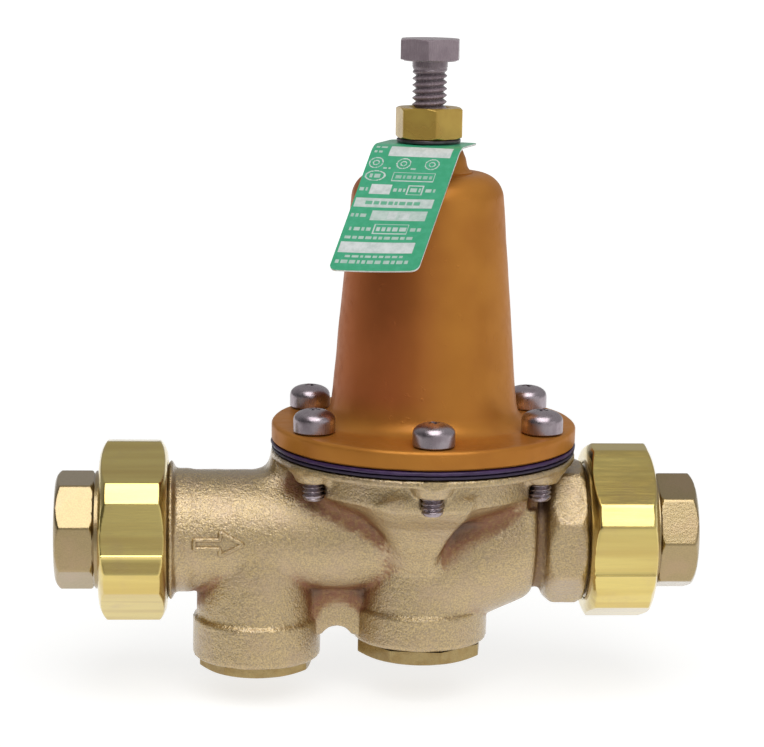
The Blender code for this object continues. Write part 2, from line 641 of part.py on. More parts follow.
def strainer_plug():
    plug = screwed_plug("strainer_plug", STRAINER_X, STRAINER_COLLAR_BOTTOM, -39.9, 16.8, 10.2,
                        STRAINER_COLLAR_BOTTOM + 0.4, -78.0)
    move_origin(dress(plug, "yellow_brass"), STRAINER_X)
    seal = o_ring("strainer_plug_o_ring", SEAL_R, STRAINER_COLLAR_BOTTOM + 0.6, 0.75, STRAINER_X)
    move_origin(seal, STRAINER_X)


def bottom_plug():
    plug = screwed_plug("bottom_plug", 0.0, SEAT_COLLAR_BOTTOM, -35.6, 18.8, 9.0,
                        SEAT_COLLAR_BOTTOM + 1.4, -75.0)
    cut(plug, [rod("stem_guide_bore", STEM_R + GAP, -33.6, -28.0, COARSE)])
    dress(plug, "yellow_brass")
    o_ring("bottom_plug_o_ring", SEAL_R, SEAT_COLLAR_BOTTOM + 0.6, 0.75)


def strainer_screen():
    """A perforated tube that stands on the strainer plug, with rows of round-cornered windows."""
    outer, inner = 9.5, 8.7
    bottom, top = STRAINER_COLLAR_BOTTOM + 0.7, BRIDGE_BOTTOM - GAP
    wall = [(inner, bottom), (outer, bottom), (outer, top), (inner, top)]
    tube = turned("strainer_screen", wall, MEDIUM, "Z", (STRAINER_X, 0, 0))
    rows, bars = 2, 3
    for row in range(rows):
        z = bottom + 11.5 + row * 9.0
        for bar in range(bars):
            cutter = rod(f"screen_hole_{row + 1}_{bar + 1}", 2.6, -12, 12, 8, "X", (0, 0, z))
            cutter.data.transform(Matrix.Translation((STRAINER_X * MM, 0, 0))
                                  @ Matrix.Rotation(math.pi * (bar + 0.5 * (row % 2)) / bars, 4, "Z"))
            cut(tube, [cutter], CLEAN_SOLVER)
    move_origin(dress(tube, "stainless"), STRAINER_X)


# ---------------------------------------------------------------- unions


def union_nut(name, face_x, along, first_corner):
    """A hexagon whose corners are turned back to flats, bored for the thread and for the tailpiece."""
    flat_r = NUT_FLATS / 2
    reach = math.sqrt(NUT_CORNER_R ** 2 - flat_r ** 2)
    outline = []
    for side in range(6):
        a = math.radians(60 * side + 30 + first_corner)
        for offset in (-reach, reach):
            x = flat_r * math.cos(a) - offset * math.sin(a)
            outline.append((x, flat_r * math.sin(a) + offset * math.cos(a)))
    nut = place(extruded(name, outline, face_x, face_x + NUT_LENGTH), along)
    chamfer, end = 1.9, face_x + NUT_LENGTH
    envelope = [
        (NUT_BORE_R, face_x), (NUT_CORNER_R - chamfer, face_x), (NUT_CORNER_R + 0.2, face_x + 1.5),
        (NUT_CORNER_R + 0.2, end - 1.5), (NUT_CORNER_R - chamfer, end), (NUT_LIP_R, end),
        (NUT_LIP_R, end - NUT_LIP), (NUT_BORE_R, end - NUT_LIP),
    ]
    combine(nut, turned(f"{name}_envelope", envelope, FINE, along), "INTERSECT")
    dress(nut, "yellow_brass")


def tailpiece(name, face_x, along, first_corner):
    """The pipe connector held by a union nut: a flange, a neck and an octagonal end with a pipe socket."""
    nut_end = face_x + NUT_LENGTH
    flange_end = nut_end - NUT_LIP - GAP
    flange_start = flange_end - TAIL_FLANGE
    octagon_start, end = nut_end + TAIL_NECK, nut_end + TAIL_PROUD
    corner_r = TAIL_FLATS / 2 / math.cos(math.pi / 8)
    octagon = extruded(name, polygon(8, corner_r, first_corner), octagon_start, end)
    place(octagon, along)
    chamfer = [
        (0, octagon_start - 0.1), (corner_r - 0.9, octagon_start - 0.1),
        (corner_r + 0.2, octagon_start + 0.8), (corner_r + 0.2, end - 1.0),
        (corner_r - 1.6, end + 0.1), (0, end + 0.1),
    ]
    combine(octagon, turned(f"{name}_chamfer", chamfer, MEDIUM, along), "INTERSECT")
    neck_r = NUT_LIP_R - 0.5
    neck = [
        (0, flange_start), (TAIL_FLANGE_R, flange_start), (TAIL_FLANGE_R, flange_end), (neck_r, flange_end),
        (neck_r, octagon_start - 0.3), (neck_r - 0.8, octagon_start + OVERLAP), (0, octagon_start + OVERLAP),
    ]
    join(octagon, [turned(f"{name}_neck", neck, MEDIUM, along)])
    socket_floor = end - TAIL_SOCKET_DEPTH
    bore = [
        (0, flange_start - OVERLAP), (BORE_R, flange_start - OVERLAP), (BORE_R, socket_floor - 1.5),
        (TAIL_SOCKET_R, socket_floor), (TAIL_SOCKET_R, end - 1.2), (TAIL_SOCKET_R + 1.2, end),
        (TAIL_SOCKET_R + 1.2, end + OVERLAP), (0, end + OVERLAP),
    ]
    cut(octagon, [turned(f"{name}_bore", bore, SMALL, along)])
    dress(octagon, "cast_bronze")


def union_gasket(name, face_x, along):
    end = face_x + NUT_LENGTH - NUT_LIP - 2 * GAP - TAIL_FLANGE
    start = end - UNION_GASKET
    dress(turned(name, [(11.0, start), (18.5, start), (18.5, end), (11.0, end)], MEDIUM, along), "fibre")


def unions():
    for side, face_x, along, nut_turn, tail_turn in (
        ("inlet", INLET_FACE_X, "-X", 7.0, 15.0),
        ("outlet", OUTLET_FACE_X, "X", 8.0, 1.0),
    ):
        union_nut(f"{side}_union_nut", face_x, along, nut_turn)
        tailpiece(f"{side}_tailpiece", face_x, along, tail_turn)
        union_gasket(f"{side}_union_gasket", face_x, along)


clear_scene()
body_casting()
bonnet()
dress(screw_ring("diaphragm_gasket", CHAMBER_R + 1.0, 43.2, GASKET_BOTTOM, GASKET_TOP), "black_rubber")
diaphragm()
cap_screws()
adjusting_bolt()
lock_nut()
lock_washer()
spring_button()
coil_spring("main_spring", SPRING_SEAT + GAP, BUTTON_BOTTOM - GAP, SPRING_R, SPRING_WIRE_R, 6, 11,
            "spring_steel")
identification_tag()
stem_assembly()
seat_ring()
coil_spring("bottom_spring", SEAT_COLLAR_BOTTOM + 1.7, HOLDER_BOTTOM - 2.6, 6.5, 0.6, 5, 9, "stainless")
strainer_screen()
strainer_plug()
bottom_plug()
unions()
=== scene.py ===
"""The looks of a pressure reducing valve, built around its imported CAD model.

Frame: the origin is where the pipe axis crosses the bonnet axis, +X is the flow direction and +Z runs up the
bonnet. Lengths are in millimetres here and become metres as each mesh is made.
"""

import json
import math

import bmesh
import bpy
import numpy as np
from mathutils import Matrix, Vector


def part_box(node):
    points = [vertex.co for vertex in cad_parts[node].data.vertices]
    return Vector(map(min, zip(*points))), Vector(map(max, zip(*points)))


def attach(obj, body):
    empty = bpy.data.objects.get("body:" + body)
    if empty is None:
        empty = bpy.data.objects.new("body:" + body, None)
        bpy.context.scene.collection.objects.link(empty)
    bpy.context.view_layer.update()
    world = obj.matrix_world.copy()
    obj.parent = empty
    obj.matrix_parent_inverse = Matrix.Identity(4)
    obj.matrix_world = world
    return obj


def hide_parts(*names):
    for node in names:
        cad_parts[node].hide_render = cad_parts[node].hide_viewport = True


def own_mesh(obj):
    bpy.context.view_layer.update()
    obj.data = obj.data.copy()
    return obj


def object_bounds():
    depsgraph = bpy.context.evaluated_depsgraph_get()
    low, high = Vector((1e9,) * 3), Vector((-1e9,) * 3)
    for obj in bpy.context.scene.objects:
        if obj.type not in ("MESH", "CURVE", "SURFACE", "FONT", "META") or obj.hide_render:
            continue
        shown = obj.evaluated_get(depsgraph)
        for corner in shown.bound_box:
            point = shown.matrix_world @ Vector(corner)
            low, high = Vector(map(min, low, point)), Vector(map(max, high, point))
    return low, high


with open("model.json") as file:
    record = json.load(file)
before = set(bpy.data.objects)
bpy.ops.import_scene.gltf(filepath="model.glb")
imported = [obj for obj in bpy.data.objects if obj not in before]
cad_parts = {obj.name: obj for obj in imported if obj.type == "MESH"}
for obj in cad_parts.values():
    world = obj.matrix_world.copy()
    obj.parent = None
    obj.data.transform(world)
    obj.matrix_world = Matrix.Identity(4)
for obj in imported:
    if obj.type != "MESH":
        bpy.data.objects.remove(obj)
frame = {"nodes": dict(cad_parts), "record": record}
cad_low, cad_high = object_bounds()

MM = 0.001
GAP = 0.3  # clearance that the CAD keeps between pieces
EDGE_SOFTNESS = 0.25  # how far the edges of a cut prism are rounded over
FLOOR_GAP = 8.5  # below the lowest face, so that the plugs have room to drop

# Threads: pitch and depth
SCREW_PITCH, SCREW_DEPTH = 1.27, 0.62
BOLT_PITCH, BOLT_DEPTH = 1.8, 0.95
UNION_PITCH, UNION_DEPTH = 2.2, 1.1
PIPE_PITCH, PIPE_DEPTH = 1.81, 0.8

# Body casting
BARREL_R, BORE_R = 17.4, 9.5
SHOULDER_R, SPIGOT_R, SHOULDER_LENGTH = 19.9, 19.4, 1.4
STRAINER_X = -47.2
FLANGE_R, FLANGE_BOTTOM, FLANGE_TOP = 43.4, 22.0, 24.1
BOWL_R, BOWL_BOTTOM = 35.0, 14.6
SCREW_CIRCLE_R, SCREW_COUNT, SCREW_HOLE_R, SCREW_BOSS_R = 36.8, 6, 3.4, 6.3
PLUG_THREAD_R, PLUG_THREAD_LENGTH = 13.6, 8.0
SEAL_GROOVE_R, SEAL_GROOVE_DEPTH, SEAL_R = 16.0, 1.5, 14.95
STRAINER_MOUTH, SEAT_MOUTH = -36.6, -31.2  # the bottoms of the two bosses
BODY_STEP = 0.7  # spacing of the grid that the casting is meshed on
HOLLOW_REACH = 12.0  # how far round a point its hollow value looks
# Waves that make the casting's skin uneven: height, then radians a millimetre along each axis, and phase
SKIN_WAVE = 0.012
CASTING_WAVES = (0.9, 0.5, 0.3, 1.0), (-0.4, 1.1, 0.7, 2.0), (0.6, -0.7, 1.2, 4.0), (1.6, 0.9, -1.3, 5.0)

# Diaphragm
DIAPHRAGM_BOTTOM, DIAPHRAGM_TOP, FOLD_R, STEM_HOLE_R = 25.5, 26.6, 26.8, 2.8

# Unions
NUT_FLATS, NUT_CORNER_R = 47.6, 25.85
NUT_BORE_R, NUT_LIP_R, NUT_LIP = 19.7, 17.4, 2.5
TAIL_FLATS, TAIL_SOCKET_R, TAIL_SOCKET_DEPTH, TAIL_FLANGE_R, TAIL_FLANGE = 31.5, 12.2, 12.5, 18.7, 2.5


def box_mm(node):
    """Lowest and highest corner of a CAD node, in millimetres."""
    low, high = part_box(node)
    return np.array(low) / MM, np.array(high) / MM


def heights(node):
    """The bottom and top of a CAD node."""
    low, high = box_mm(node)
    return low[2], high[2]


def ends(node):
    """How far the two ends of a CAD node on the pipe axis are from the bonnet axis, the near end first."""
    low, high = box_mm(node)
    return sorted((abs(low[0]), abs(high[0])))


# ------------------------------------------------------------------ mesh tools


def add_object(name, data):
    """A new object in the scene."""
    obj = bpy.data.objects.new(name, data)
    bpy.context.scene.collection.objects.link(obj)
    return obj


def mesh_object(name, points, faces, sharp=32.0, recalculate=True):
    """An object from points in millimetres, shaded smooth except across edges sharper than the angle."""
    mesh = bpy.data.meshes.new(name)
    mesh.from_pydata((np.asarray(points, float) * MM).tolist(), [], faces)
    if recalculate:
        bm = bmesh.new()
        bm.from_mesh(mesh)
        bmesh.ops.recalc_face_normals(bm, faces=bm.faces)
        bm.to_mesh(mesh)
        bm.free()
    mesh.shade_smooth()
    mesh.set_sharp_from_angle(angle=math.radians(sharp))
    return add_object(name, mesh)


def tube_faces(rings, around, closed=False):
    """Faces of a tube whose points come ring by ring. An open tube gets two end caps."""
    faces = []
    for i in range(rings if closed else rings - 1):
        a, b = i * around, (i + 1) % rings * around
        for k in range(around):
            j = (k + 1) % around
            faces.append((a + k, a + j, b + j, b + k))
    if not closed:
        faces += [tuple(range(around)), tuple(range((rings - 1) * around, rings * around))[::-1]]
    return faces


def with_flag(outline):
    """Outline points as (radius, height, flag); the flag says how far the piece's flats cut that point."""
    return [(*p, 0.0) if len(p) == 2 else p for p in outline]


def soften(outline, reach):
    """Rounds each corner of a closed outline; a corner starts and ends at the reach from its tip."""
    points = np.array(outline, float)
    out = []
    for before, corner, after in zip(np.roll(points, 1, 0), points, np.roll(points, -1, 0)):
        start, end = (corner + (p - corner) / np.linalg.norm(p - corner) * reach for p in (before, after))
        for t in np.linspace(0, 1, 4):
            out.append(tuple((1 - t) ** 2 * start + 2 * t * (1 - t) * corner + t * t * end))
    return out


def refined(outline, step, fine=None):
    """Splits the runs of a closed outline. fine is (radius, step): a closer step for runs at that radius."""
    points = with_flag(outline)
    out = []
    for p, q in zip(points, points[1:] + points[:1]):
        here = step
        if fine and abs(p[0] - fine[0]) < 0.02 and abs(q[0] - fine[0]) < 0.02:
            here = fine[1]
        length = math.hypot(q[0] - p[0], q[1] - p[1])
        both_on_axis = p[0] < 1e-6 and q[0] < 1e-6
        count = 1 if both_on_axis else max(1, math.ceil(length / here))
        out += [tuple(a + (b - a) * i / count for a, b in zip(p, q)) for i in range(count)]
    return out


def soft_min(a, b, blend):
    """The smaller of two values, rounded over where they are closer than the blend."""
    h = np.maximum(blend - np.abs(a - b), 0) / blend
    return np.minimum(a, b) - h * h * blend * 0.25


def flats(sides, blend, ridges=()):
    """A function from angles to the radius of a prism whose sides are (distance from the axis, direction).

    Directions are in degrees. A thin forging seam runs along the prism at each of the ridges.
    """

    def limit(angles):
        radius = np.full(len(angles), 1e3)
        for distance, direction in sides:
            facing = np.maximum(np.cos(angles - math.radians(direction)), 0.02)
            radius = soft_min(radius, distance / facing, blend)
        for direction in ridges:
            off = np.abs((np.degrees(angles) - direction + 180) % 360 - 180)
            radius += 0.28 * np.exp(-((off / 0.9) ** 2)) * (off < 4)
        return radius[None, :]

    return limit


def regular(count, across_flats, first_corner):
    """The sides of a regular prism."""
    return [(across_flats / 2, first_corner + 360 / count * (i + 0.5)) for i in range(count)]


def spread_angles(corners=(), coarse=3.0, fine=0.35, reach=2.1):
    """Angles round a turned piece, in radians, closer together near the corners (in degrees)."""
    values = list(np.arange(0, 360, coarse))
    for corner in corners:
        values += list(corner % 360 + np.arange(-reach, reach + 1e-6, fine))
    values = np.unique(np.round(np.mod(values, 360), 3))
    keep = np.ones(len(values), bool)
    keep[1:] = np.diff(values) > 0.1
    return np.radians(values[keep])


def thread(radius, low, high, pitch, depth, internal=False):
    """A function that cuts a right-hand V thread into the points at the radius, fading at both ends."""

    def cut(r, z, angles):
        phase = (z / pitch - angles[None, :] / (2 * math.pi)) % 1.0
        groove = np.clip(np.abs(phase - 0.5) * 2 * 1.3 - 0.15, 0, 1)
        fade = np.clip((z - low) / pitch, 0, 1) * np.clip((high - z) / pitch, 0, 1)
        change = depth * groove * fade * (1 if internal else -1)
        return np.where((np.abs(r - radius) < 0.03) & (z >= low) & (z <= high), r + change, r)

    return cut


def ripple(points, size, amount, seed):
    """Smooth random values at the points: a sum of waves of about the size, scaled to the amount."""
    rng = np.random.default_rng(seed)
    total = np.zeros(points.shape[:-1], np.float32)
    waves = 9
    for _ in range(waves):
        direction = rng.normal(size=3)
        direction *= 2 * math.pi / (size * rng.uniform(0.7, 1.6)) / np.linalg.norm(direction)
        total += np.sin(points @ direction.astype(np.float32) + rng.uniform(0, 2 * math.pi))
    return total * amount / math.sqrt(waves)


def turn_matrix(along):
    """The rotation that lays a piece's own +Z along the named axis."""
    turn = {"Z": Matrix.Identity(3), "X": Matrix.Rotation(math.pi / 2, 3, "Y")}
    turn["-X"] = Matrix.Rotation(-math.pi / 2, 3, "Y")
    return np.array(turn[along])


def turned(name, outline, angles, limit=None, cuts=(), along="Z", at=(0, 0, 0), sharp=32.0, uneven=None):
    """The closed outline turned about the axis, cut by the prism's limit and by the threads."""
    outline = np.array(with_flag(outline), float)
    height = np.repeat(outline[:, 1:2], len(angles), 1)
    radius = np.repeat(outline[:, 0:1], len(angles), 1)
    if limit is not None:
        flag = outline[:, 2:3]
        radius = radius * (1 - flag) + soft_min(radius, limit(angles), EDGE_SOFTNESS) * flag
    whole = radius
    for cut in cuts:
        radius = cut(radius, height, angles)
    on_axis = outline[:, 0] < 1e-6
    radius[on_axis] = 0
    points = np.stack([radius * np.cos(angles), radius * np.sin(angles), height], -1)
    if uneven:
        size, amount, seed = uneven
        shift = ripple(points.astype(np.float32), size, amount, seed)
        shift[on_axis] = 0
        points[..., 0] += shift * np.cos(angles)
        points[..., 1] += shift * np.sin(angles)
    count, around = radius.shape
    index = np.zeros((count, around), int)
    kept, grooves, used = [], [], 0
    for i in range(count):
        size = 1 if on_axis[i] else around
        index[i] = used + (0 if on_axis[i] else np.arange(around))
        kept.append(points[i, :size])
        grooves.append(np.abs(whole - radius)[i, :size])
        used += size
    faces = []
    for i in range(count):
        j = (i + 1) % count
        if on_axis[i] and on_axis[j]:
            continue
        a, b = index[i], index[j]
        a2, b2 = np.roll(a, -1), np.roll(b, -1)
        if on_axis[i]:
            faces += np.stack([a, b2, b], -1).tolist()
        elif on_axis[j]:
            faces += np.stack([a, a2, b], -1).tolist()
        else:
            faces += np.stack([a, a2, b2, b], -1).tolist()
    points = np.concatenate(kept) @ turn_matrix(along).T + np.array(at)
    obj = mesh_object(name, points, faces, sharp)
    if cuts:
        # The groove depth, which the materials turn into painted shade in the thread grooves.
        paint(obj, "groove", np.concatenate(grooves))
    return obj


def prism(name, outline, count, across, corner, blend, spread, **others):
    """A turned piece cut by the sides of a regular prism with one corner at the angle given, in degrees."""
    angles = spread_angles([corner + 360 / count * i for i in range(count)], *spread)
    return turned(name, outline, angles, flats(regular(count, across, corner), blend), **others)


def pin(radius, bottom, top, coarse, at=(0, 0, 0)):
    """A plain cutter for a round hole."""
    outline = [(0, bottom), (radius, bottom), (radius, top), (0, top)]
    return turned("hole", outline, spread_angles(coarse=coarse), at=at)


def paint(obj, name, values):
    """Stores a value for each point of the object's mesh, which its material reads."""
    attribute = obj.data.attributes.new(name, "FLOAT", "POINT")
    attribute.data.foreach_set("value", np.ascontiguousarray(values, np.float32).ravel())


def arc(centre_r, centre_z, radius_r, radius_z, start, end, steps):
    """Points on an arc of an ellipse, with angles in degrees from the +radius direction."""
    angles = np.radians(np.linspace(start, end, steps + 1))
    return [(centre_r + radius_r * math.cos(a), centre_z + radius_z * math.sin(a)) for a in angles]


def apply_modifiers(obj):
    """Replaces the object's mesh by its evaluated one."""
    bpy.context.view_layer.update()
    evaluated = obj.evaluated_get(bpy.context.evaluated_depsgraph_get())
    mesh = bpy.data.meshes.new_from_object(evaluated)
    obj.modifiers.clear()
    obj.data = mesh


def cut_away(obj, cutters, sharp=32.0):
    """Subtracts the cutters from the object and removes them."""
    for cutter in cutters:
        modifier = obj.modifiers.new("cut", "BOOLEAN")
        modifier.operation = "DIFFERENCE"
        modifier.object = cutter
    apply_modifiers(obj)
    for cutter in cutters:
        bpy.data.objects.remove(cutter)
    obj.data.shade_smooth()
    obj.data.set_sharp_from_angle(angle=math.radians(sharp))


def on_screw_circle(index):
    """The centre of a cap screw; the first one is at the front."""
    angle = math.radians(-90 + 360 / SCREW_COUNT * index)
    return np.array([SCREW_CIRCLE_R * math.cos(angle), SCREW_CIRCLE_R * math.sin(angle), 0.0])


# ------------------------------------------------------------------ materials


class Shader:
    """A Principled material and short calls for its nodes. Texture sizes are in millimetres."""

    def __init__(self, name, colour, metallic, roughness, **inputs):
        self.material = bpy.data.materials.new(name)
        self.material.use_nodes = True
        self.tree = self.material.node_tree
        self.bsdf = self.tree.nodes["Principled BSDF"]
        self.surface(Base_Color=(*colour, 1.0), Metallic=metallic, Roughness=roughness, **inputs)
        self.place = self.node("ShaderNodeTexCoord").outputs["Object"]
        self.normal = None

    def node(self, kind, **settings):
        made = self.tree.nodes.new(kind)
        for key, value in settings.items():
            setattr(made, key, value)
        return made

    def link(self, output, socket):
        self.tree.links.new(output, socket)

    def feed(self, node, **inputs):
        """Gives a node's inputs a value each, which is a number, a colour or the output of another node."""
        for name, value in inputs.items():
            socket = node.inputs[name.replace("_", " ")]
            if isinstance(value, bpy.types.NodeSocket):
                self.link(value, socket)
            else:
                socket.default_value = value
        return node

    def xyz(self):
        """The object coordinates, one by one."""
        return self.feed(self.node("ShaderNodeSeparateXYZ"), Vector=self.place).outputs

    def noise(self, size, detail=3.0, roughness=0.55, scale=(1, 1, 1)):
        """Noise of a size in millimetres; the scale stretches it along the axes where it is below 1."""
        mapping = self.feed(self.node("ShaderNodeMapping"), Scale=scale, Vector=self.place)
        return self.feed(
            self.node("ShaderNodeTexNoise"), Scale=1000.0 / size, Detail=detail, Roughness=roughness,
            Vector=mapping.outputs["Vector"],
        ).outputs["Fac"]

    def attribute(self, name):
        return self.node("ShaderNodeAttribute", attribute_name=name).outputs["Fac"]

    def remap(self, value, low, high, to_low=0.0, to_high=1.0):
        made = self.node("ShaderNodeMapRange", interpolation_type="SMOOTHSTEP")
        self.feed(made, Value=value, From_Min=low, From_Max=high, To_Min=to_low, To_Max=to_high)
        return made.outputs["Result"]

    def math(self, operation, a, b):
        made = self.node("ShaderNodeMath", operation=operation)
        self.link(a, made.inputs[0])
        if isinstance(b, float):
            made.inputs[1].default_value = b
        else:
            self.link(b, made.inputs[1])
        return made.outputs[0]

    def mix(self, factor, a, b):
        """A colour between a and b; each is a colour or an output."""
        made = self.node("ShaderNodeMix", data_type="RGBA")
        self.link(factor, made.inputs["Factor"])
        for socket, value in ((made.inputs[6], a), (made.inputs[7], b)):
            if isinstance(value, tuple):
                socket.default_value = (*value, 1.0)
            else:
                self.link(value, socket)
        return made.outputs[2]

    def bump(self, height, depth, strength=1.0):
        """Adds relief of the depth, in millimetres, on top of what is there."""
        made = self.feed(self.node("ShaderNodeBump"), Strength=strength, Distance=depth * MM, Height=height)
        if self.normal is not None:
            self.link(self.normal, made.inputs["Normal"])
        self.normal = made.outputs["Normal"]
        self.surface(Normal=self.normal)

    def surface(self, **inputs):
        self.feed(self.bsdf, **inputs)


def cast_bronze(name, grain, light, dark, skin, relief=1.0, hollows=True):
    """Sand-cast bronze with fine grain and small lumps; its hollows are painted red-brown, partly the sand
    residue of the casting and partly painted shade, browner in the groove by the outlet, and the deepest
    hollows are painted dark brown as shade.

    Skin is the refractive index of the bright film that gives the grain its white glints.
    """
    s = Shader(name, light, 1.0, 0.37, Coat_Weight=0.95, Coat_IOR=skin, Coat_Roughness=0.17)
    mottle = s.noise(9.0, 3)
    grains = s.noise(grain, 3, 0.65)
    lumps = s.noise(grain * 2.2, 3, 0.6)
    ground = s.mix(s.remap(grains, 0.38, 0.62), dark, light)
    ground = s.mix(s.remap(mottle, 0.42, 0.7, 0.0, 0.45), ground, (0.40, 0.25, 0.12))
    if hollows:
        # Painted shade: the hollows get a red-brown tint, browner in the outlet groove, and a dark brown in
        # the deepest ones; their glints are turned down there too.
        deep = s.remap(s.attribute("hollow"), 0.515, 0.61)
        red = s.math("MULTIPLY", deep, s.remap(lumps, 0.3, 0.65, 0.6, 1.0))
        outlet = s.remap(s.xyz()["X"], 0.028, 0.034)
        ground = s.mix(red, ground, s.mix(outlet, (0.28, 0.12, 0.062), (0.22, 0.135, 0.072)))
        ground = s.mix(s.remap(s.attribute("hollow"), 0.62, 0.74), ground, (0.15, 0.082, 0.05))
        s.surface(Roughness=s.remap(deep, 0.0, 1.0, 0.37, 0.58))
        s.surface(Coat_Weight=s.remap(deep, 0.0, 1.0, 0.95, 0.2))
    else:
        s.surface(Roughness=s.remap(grains, 0.3, 0.7, 0.36, 0.28))
    s.surface(Base_Color=ground)
    s.bump(mottle, 0.10, 0.4)
    s.bump(lumps, 0.28 * relief, 1.0)
    s.bump(grains, 0.20 * relief, 1.0)
    s.surface(Coat_Normal=s.normal)
    return s.material


def polished_brass(name, colour, streak, roughness, lines=1.0):
    """Machined brass with fine drawn lines and painted shade in its thread grooves; streak stretches the
    lines along one axis.
    """
    s = Shader(name, colour, 1.0, roughness, Coat_Weight=0.6 * lines, Coat_IOR=2.1, Coat_Roughness=0.12)
    fine = s.noise(0.45, 3, 0.6, streak)
    broad = s.noise(4.0, 2, 0.5, streak)
    stain = s.noise(9.0, 3, 0.6)
    darker = tuple(c * k for c, k in zip(colour, (0.86, 0.80, 0.70)))
    tone = s.mix(s.remap(broad, 0.38, 0.66), colour, darker)
    tone = s.mix(s.remap(stain, 0.5, 0.8, 0.0, 0.4), tone, (0.55, 0.38, 0.15))
    # Painted shade: darker where the thread grooves are deep.
    cut = s.remap(s.attribute("groove"), 0.25, 0.8, 0.0, 0.75)
    s.surface(Base_Color=s.mix(cut, tone, (0.14, 0.085, 0.03)))
    s.surface(Roughness=s.remap(fine, 0.3, 0.7, roughness * 0.75, roughness * 1.5))
    s.bump(broad, 0.02, 0.3 * lines)
    s.bump(fine, 0.010, 0.7 * lines)
    return s.material


def lacquered_brass(name):
    """Smooth brass under a warm lacquer."""
    s = Shader(name, (0.55, 0.36, 0.075), 0.45, 0.24)
    cloud = s.noise(6.0, 2, 0.5)
    lines = s.noise(0.6, 2, 0.6, (1, 1, 0.08))
    s.surface(Base_Color=s.mix(s.remap(cloud, 0.35, 0.7), (0.56, 0.37, 0.078), (0.47, 0.295, 0.06)))
    s.surface(Roughness=s.remap(cloud, 0.3, 0.7, 0.20, 0.28))
    s.bump(lines, 0.003, 0.3)
    return s.material


def plated_steel(name, colour, roughness, tint, metallic=1.0):
    """Plated fastener steel with a mottled film and fine scratches, and painted shade in its thread grooves.
    """
    s = Shader(name, colour, metallic, roughness)
    film = s.noise(3.0, 3, 0.6)
    scratches = s.noise(0.6, 2, 0.6, (1, 1, 0.2))
    tone = s.mix(s.remap(film, 0.35, 0.7), colour, tint)
    # Painted shade: darker where the thread grooves are deep.
    cut = s.remap(s.attribute("groove"), 0.3, 0.9, 0.0, 0.55)
    s.surface(Base_Color=s.mix(cut, tone, (0.05, 0.042, 0.045)))
    s.surface(Roughness=s.remap(scratches, 0.3, 0.7, roughness * 0.88, roughness * 1.2))
    s.bump(scratches, 0.002, 0.3)
    s.bump(film, 0.008, 0.25)
    return s.material


def bonnet_enamel(name):
    """Metallic gold enamel over a sand casting, with waves and orange peel; its wall is painted darker and
    redder towards the inlet, a painted reflection of a dark room on that side.
    """
    s = Shader(name, (0.48, 0.19, 0.02), 0.45, 0.36, Coat_Weight=0.08, Coat_Roughness=0.12,
               Specular_IOR_Level=0.25, Specular_Tint=(0.8, 0.5, 0.25, 1.0))
    slow = s.noise(16.0, 2, 0.5)
    peel = s.noise(1.8, 2, 0.5)
    pits = s.noise(3.0, 4, 0.65)
    place = s.xyz()
    gold = s.mix(s.remap(slow, 0.35, 0.7), (0.49, 0.20, 0.035), (0.43, 0.165, 0.029))
    # Painted reflection: the wall darkens and reddens towards the inlet, where it would mirror the dark side
    # of the room.
    dark_reflection_side = s.remap(place["X"], -0.012, 0.008, 1.0, 0.0)
    on_wall = s.remap(place["Z"], 0.033, 0.044)
    s.surface(Base_Color=s.mix(s.math("MULTIPLY", dark_reflection_side, on_wall), gold, (0.41, 0.118, 0.034)))
    s.surface(Roughness=s.remap(pits, 0.35, 0.7, 0.36, 0.46))
    s.bump(slow, 0.25, 0.3)
    s.bump(peel, 0.02, 0.3)
    s.bump(s.remap(pits, 0.62, 0.74), 0.10, 0.6)
    return s.material


def rubber(name, colour, roughness):
    """Dusty rubber with a cloth weave pressed into it."""
    s = Shader(name, colour, 0.0, roughness)
    cloth = s.noise(0.5, 3, 0.6)
    dust = s.noise(4.0, 3, 0.6)
    paler = tuple(min(1.0, c * 2.2 + 0.01) for c in colour)
    s.surface(Base_Color=s.mix(s.remap(dust, 0.4, 0.8, 0.0, 0.5), colour, paler))
    s.surface(Roughness=s.remap(cloth, 0.3, 0.7, roughness * 0.8, roughness * 1.25))
    s.bump(cloth, 0.06, 0.6)
    return s.material


def tag_print(name):
    """Green print on sheet metal; the ink attribute is 1 in the bare white marks."""
    s = Shader(name, (0.04, 0.43, 0.22), 0.0, 0.34, Coat_Weight=0.25, Coat_Roughness=0.2)
    ink = s.attribute("ink")
    wear = s.noise(2.2, 4, 0.65)
    fine = s.noise(0.5, 2)
    green = s.mix(s.remap(wear, 0.35, 0.75), (0.032, 0.345, 0.172), (0.052, 0.39, 0.215))
    mark = s.mix(s.remap(wear, 0.3, 0.75), (0.68, 0.71, 0.70), (0.48, 0.55, 0.52))
    s.surface(Base_Color=s.mix(s.remap(ink, 0.1, 0.9), green, mark))
    s.surface(Roughness=s.remap(fine, 0.3, 0.7, 0.28, 0.42))
    s.bump(fine, 0.01, 0.5)
    s.bump(ink, 0.02, 0.4)
    return s.material


def grained(name, metallic, noise, spread, colours, rough, relief):
    """A plain material with one noise, as Shader.noise takes it, in its colour, roughness and relief."""
    s = Shader(name, colours[0], metallic, rough[0])
    grain = s.noise(*noise)
    s.surface(Base_Color=s.mix(s.remap(grain, *spread), *colours))
    s.surface(Roughness=s.remap(grain, 0.3, 0.7, *rough))
    s.bump(grain, *relief)
    return s.material


